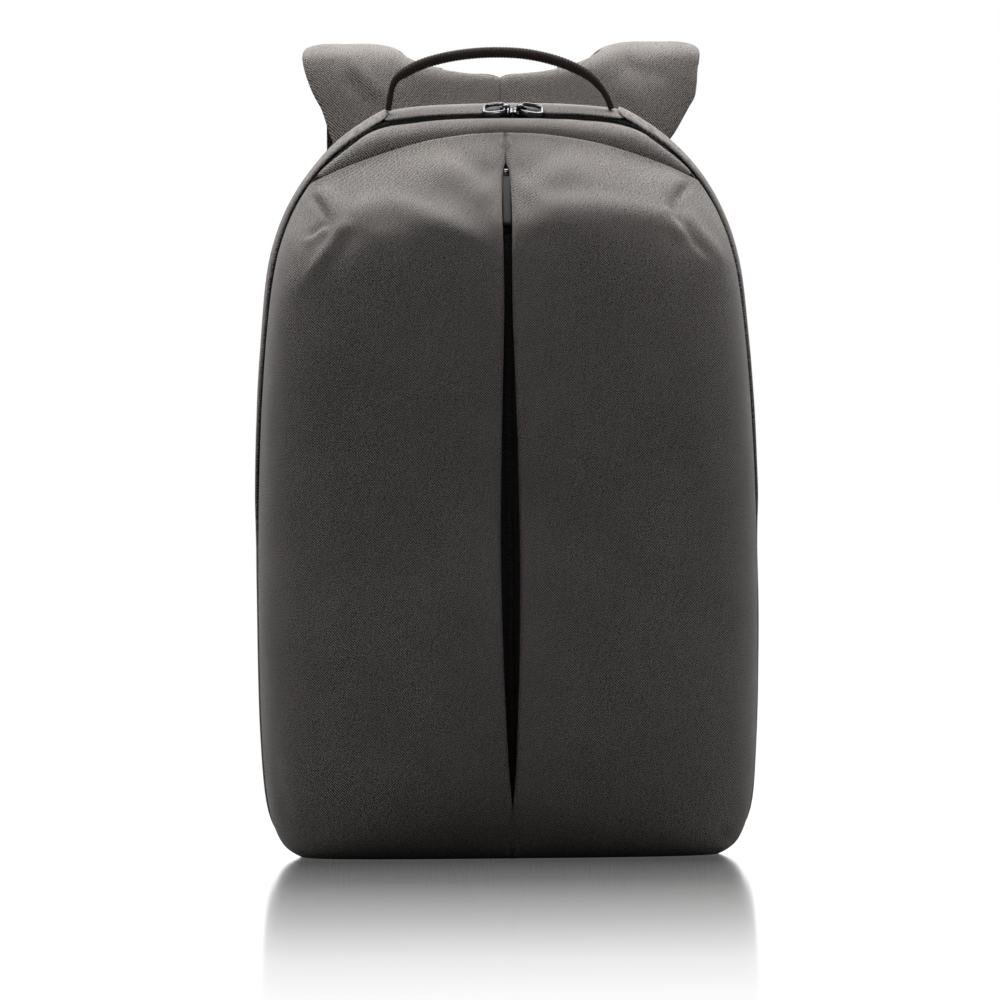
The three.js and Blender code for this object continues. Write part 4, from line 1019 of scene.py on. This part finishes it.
# Tapes and webbing. The front zip's soft pull hangs lower and further out than the solid.
pullHang = {"down": 11 * mm, "forward": 8 * mm}
for node, name, weave in (
    ("main_zip_tape", "main_zip_tape_weave", tapeWeave),
    ("front_zip_tape", "front_zip_tape_weave", tapeWeave),
    ("strap_webbing_left", "strap_webbing_weave_left", webbingWeave),
    ("strap_webbing_right", "strap_webbing_weave_right", webbingWeave),
    ("strap_end_loop_left", "strap_end_loop_weave_left", webbingWeave),
    ("strap_end_loop_right", "strap_end_loop_weave_right", webbingWeave),
    ("front_zip_pull", "front_zip_pull_tape", tapeWeave),
):
    tape = copyOfNode(node, name)
    roundUp(tape, 2)
    co = readPoints(tape)
    if node == "front_zip_pull":
        low, high = co[:, 2].min(), co[:, 2].max()
        hang = (high - co[:, 2]) / (high - low)
        co[:, 2] -= pullHang["down"] * hang
        co[:, 1] -= pullHang["forward"] * hang
        writePoints(tape, co)
    if node == "main_zip_tape":
        layMap(tape, co[:, 1], co[:, 2] * smoothStep(-co[:, 2], -0.44, -0.38) + co[:, 0])
    else:
        layMap(tape, co[:, 0], co[:, 2] + co[:, 1])
    smoothShade(tape, 50)
    finishPiece(tape, "bag", "tape", weave, node)
print("tapes and webbing ready")

# Zips: a small rounded coil turn, copied along the chain
zipLook = {
    "pitch": 1.35 * mm, "mainTurn": (0.85, 4.2, 1.3), "frontTurn": (0.85, 4.4, 1.3),
    "bevel": 0.28 * mm, "stagger": 0.25 * mm,
}
for node, name, turn, axis, centre in (
    ("main_zip_chain", "main_zip_coil", zipLook["mainTurn"], 0, inside),
    ("front_zip_chain", "front_zip_coil", zipLook["frontTurn"], 2, Vector((0, 0.2, 0.2))),
):
    unit = bevelledBlock("turn", [s * mm for s in turn], zipLook["bevel"])
    line = stripLine(node, zipLook["pitch"], 4, axis, centre)
    coil = repeatAlong(name, unit, *line, stagger=zipLook["stagger"])
    bpy.data.objects.remove(unit)
    smoothShade(coil, 50)
    finishPiece(coil, "bag", "zip_teeth", zipPlastic, node)
print("zips ready")

# Sliders, pulls and buckles. The sliders and buckles are the CAD shape with its edges rounded
for node, name, body, slot, material, bevel in (
    ("main_zip_slider_left", "main_slider_left", "bag", "metal", blackNickel, 0.45),
    ("main_zip_slider_right", "main_slider_right", "bag", "metal", blackNickel, 0.45),
    ("front_zip_slider", "front_slider", "bag", "metal", blackNickel, 0.4),
    ("strap_adjuster_left", "strap_buckle_left", "bag", "buckle", bucklePlastic, 0.8),
    ("strap_adjuster_right", "strap_buckle_right", "bag", "buckle", bucklePlastic, 0.8),
):
    part = copyOfNode(node, name, quads=False)
    bpy.ops.object.mode_set(mode="EDIT")
    bpy.ops.mesh.select_all(action="SELECT")
    bpy.ops.mesh.dissolve_limited(angle_limit=math.radians(2))
    bpy.ops.object.mode_set(mode="OBJECT")
    modifier = part.modifiers.new("edges", "BEVEL")
    modifier.width = bevel * mm
    modifier.segments = 3
    modifier.limit_method = "ANGLE"
    modifier.angle_limit = math.radians(30)
    applyModifiers(part)
    smoothShade(part, 40)
    finishPiece(part, body, slot, material, node)

# The stirrup pulls: a rounded frame, thin at the pin that the slider holds and broad at its free end
pull = {
    "half": 6.9, "halfWidth": 4.25, "pinAt": 7.1,
    "pin": 0.9, "bar": 1.3, "broad": 1.75, "taper": (2.5, 6.2), "square": 3.0,
}


def makePull(side, sign):
    node = "main_zip_pull_" + side
    joint = next(j for j in frame["joints"] if j["name"] == side + "_pull_hinge")
    pin, axis = np.array(joint["pos_m"]), np.array(joint["axis"])
    low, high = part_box(node)
    middle = (np.array(low) + np.array(high)) / 2
    axis = axis / np.linalg.norm(axis)
    if axis[1] > 0:
        axis = -axis
    longWay = pin - middle
    longWay -= (longWay @ axis) * axis
    longWay /= np.linalg.norm(longWay)
    flatWay = np.cross(longWay, axis)
    deselectAll()
    bpy.ops.mesh.primitive_torus_add(major_radius=1, minor_radius=0.1, major_segments=72, minor_segments=20)
    obj = bpy.context.object
    obj.name = obj.data.name = "main_pull_" + side
    co = readPoints(obj)
    angle = np.arctan2(co[:, 1], co[:, 0])
    ring = np.stack([np.cos(angle), np.sin(angle)], 1)
    tube = np.stack([(np.hypot(co[:, 0], co[:, 1]) - 1) / 0.1, co[:, 2] / 0.1], 1)
    stretch = (np.abs(ring) ** pull["square"]).sum(1) ** (-1 / pull["square"])
    x, y = ring[:, 0] * stretch * pull["half"], ring[:, 1] * stretch * pull["halfWidth"]
    free = 1 - smoothStep(x, *pull["taper"])
    thick = pull["pin"] + (pull["bar"] - pull["pin"]) * free
    lower = smoothStep(y, 0.5, pull["halfWidth"])
    wide = thick * (1 + (pull["broad"] / pull["bar"] - 1) * lower * free)
    out = np.stack([ring[:, 0] / pull["half"], ring[:, 1] / pull["halfWidth"]], 1)
    out /= np.linalg.norm(out, axis=1)[:, None]
    x = x + out[:, 0] * tube[:, 0] * wide + pull["pinAt"] - pull["half"]
    y = y + out[:, 1] * tube[:, 0] * wide
    z = np.sign(tube[:, 1]) * np.abs(tube[:, 1]) ** 0.8 * thick
    place = pin + ((x - pull["pinAt"])[:, None] * longWay + y[:, None] * axis + z[:, None] * flatWay) * mm
    writePoints(obj, place)
    faceOutwards(obj)
    smoothShade(obj, 60)
    return finishPiece(obj, side + "_pull", "metal", blackNickel, node)


makePull("left", -1)
makePull("right", 1)
print("hardware ready")

# The rope handle: a tube with slanting ribs
handle = {"sides": 20, "step": 0.55 * mm, "rib": 2.0 * mm, "ribDepth": 0.28 * mm, "fullRadius": 3 * mm}


def makeHandle():
    rings = ringsOf("carry_handle", 8)
    middles = rings.mean(1)
    radii = np.linalg.norm(rings - middles[:, None], axis=2).mean(1)
    points, along, _, _ = stripLine("carry_handle", handle["step"], 8, 0, Vector((0, 0, 0.3)))
    run = np.arange(len(points)) * handle["step"]
    ringRun = runOf(middles)
    radius = np.interp(run, ringRun * run[-1] / ringRun[-1], radii)
    sides = handle["sides"]
    depth = np.array((0, 1.0, 0))
    ropeRings, u, v = [], [], []
    for i, point in enumerate(points):
        up = np.cross(along[i], depth)
        up /= np.linalg.norm(up)
        ribDepth = handle["ribDepth"] * min(1.0, radius[i] / handle["fullRadius"])
        ring = []
        for k in range(sides):
            angle = 2 * math.pi * k / sides
            r = radius[i] + ribDepth * math.cos(2 * math.pi * run[i] / handle["rib"] + angle)
            ring.append(point + depth * r * math.cos(angle) + up * r * math.sin(angle))
            u.append(angle * radius[i])
            v.append(run[i])
        ropeRings.append(ring)
    obj = tubeThrough("handle_rope", ropeRings, u, v)
    smoothShade(obj, 60)
    return finishPiece(obj, "bag", "rope", ropeMaterial, "carry_handle")


makeHandle()
print("handle ready")
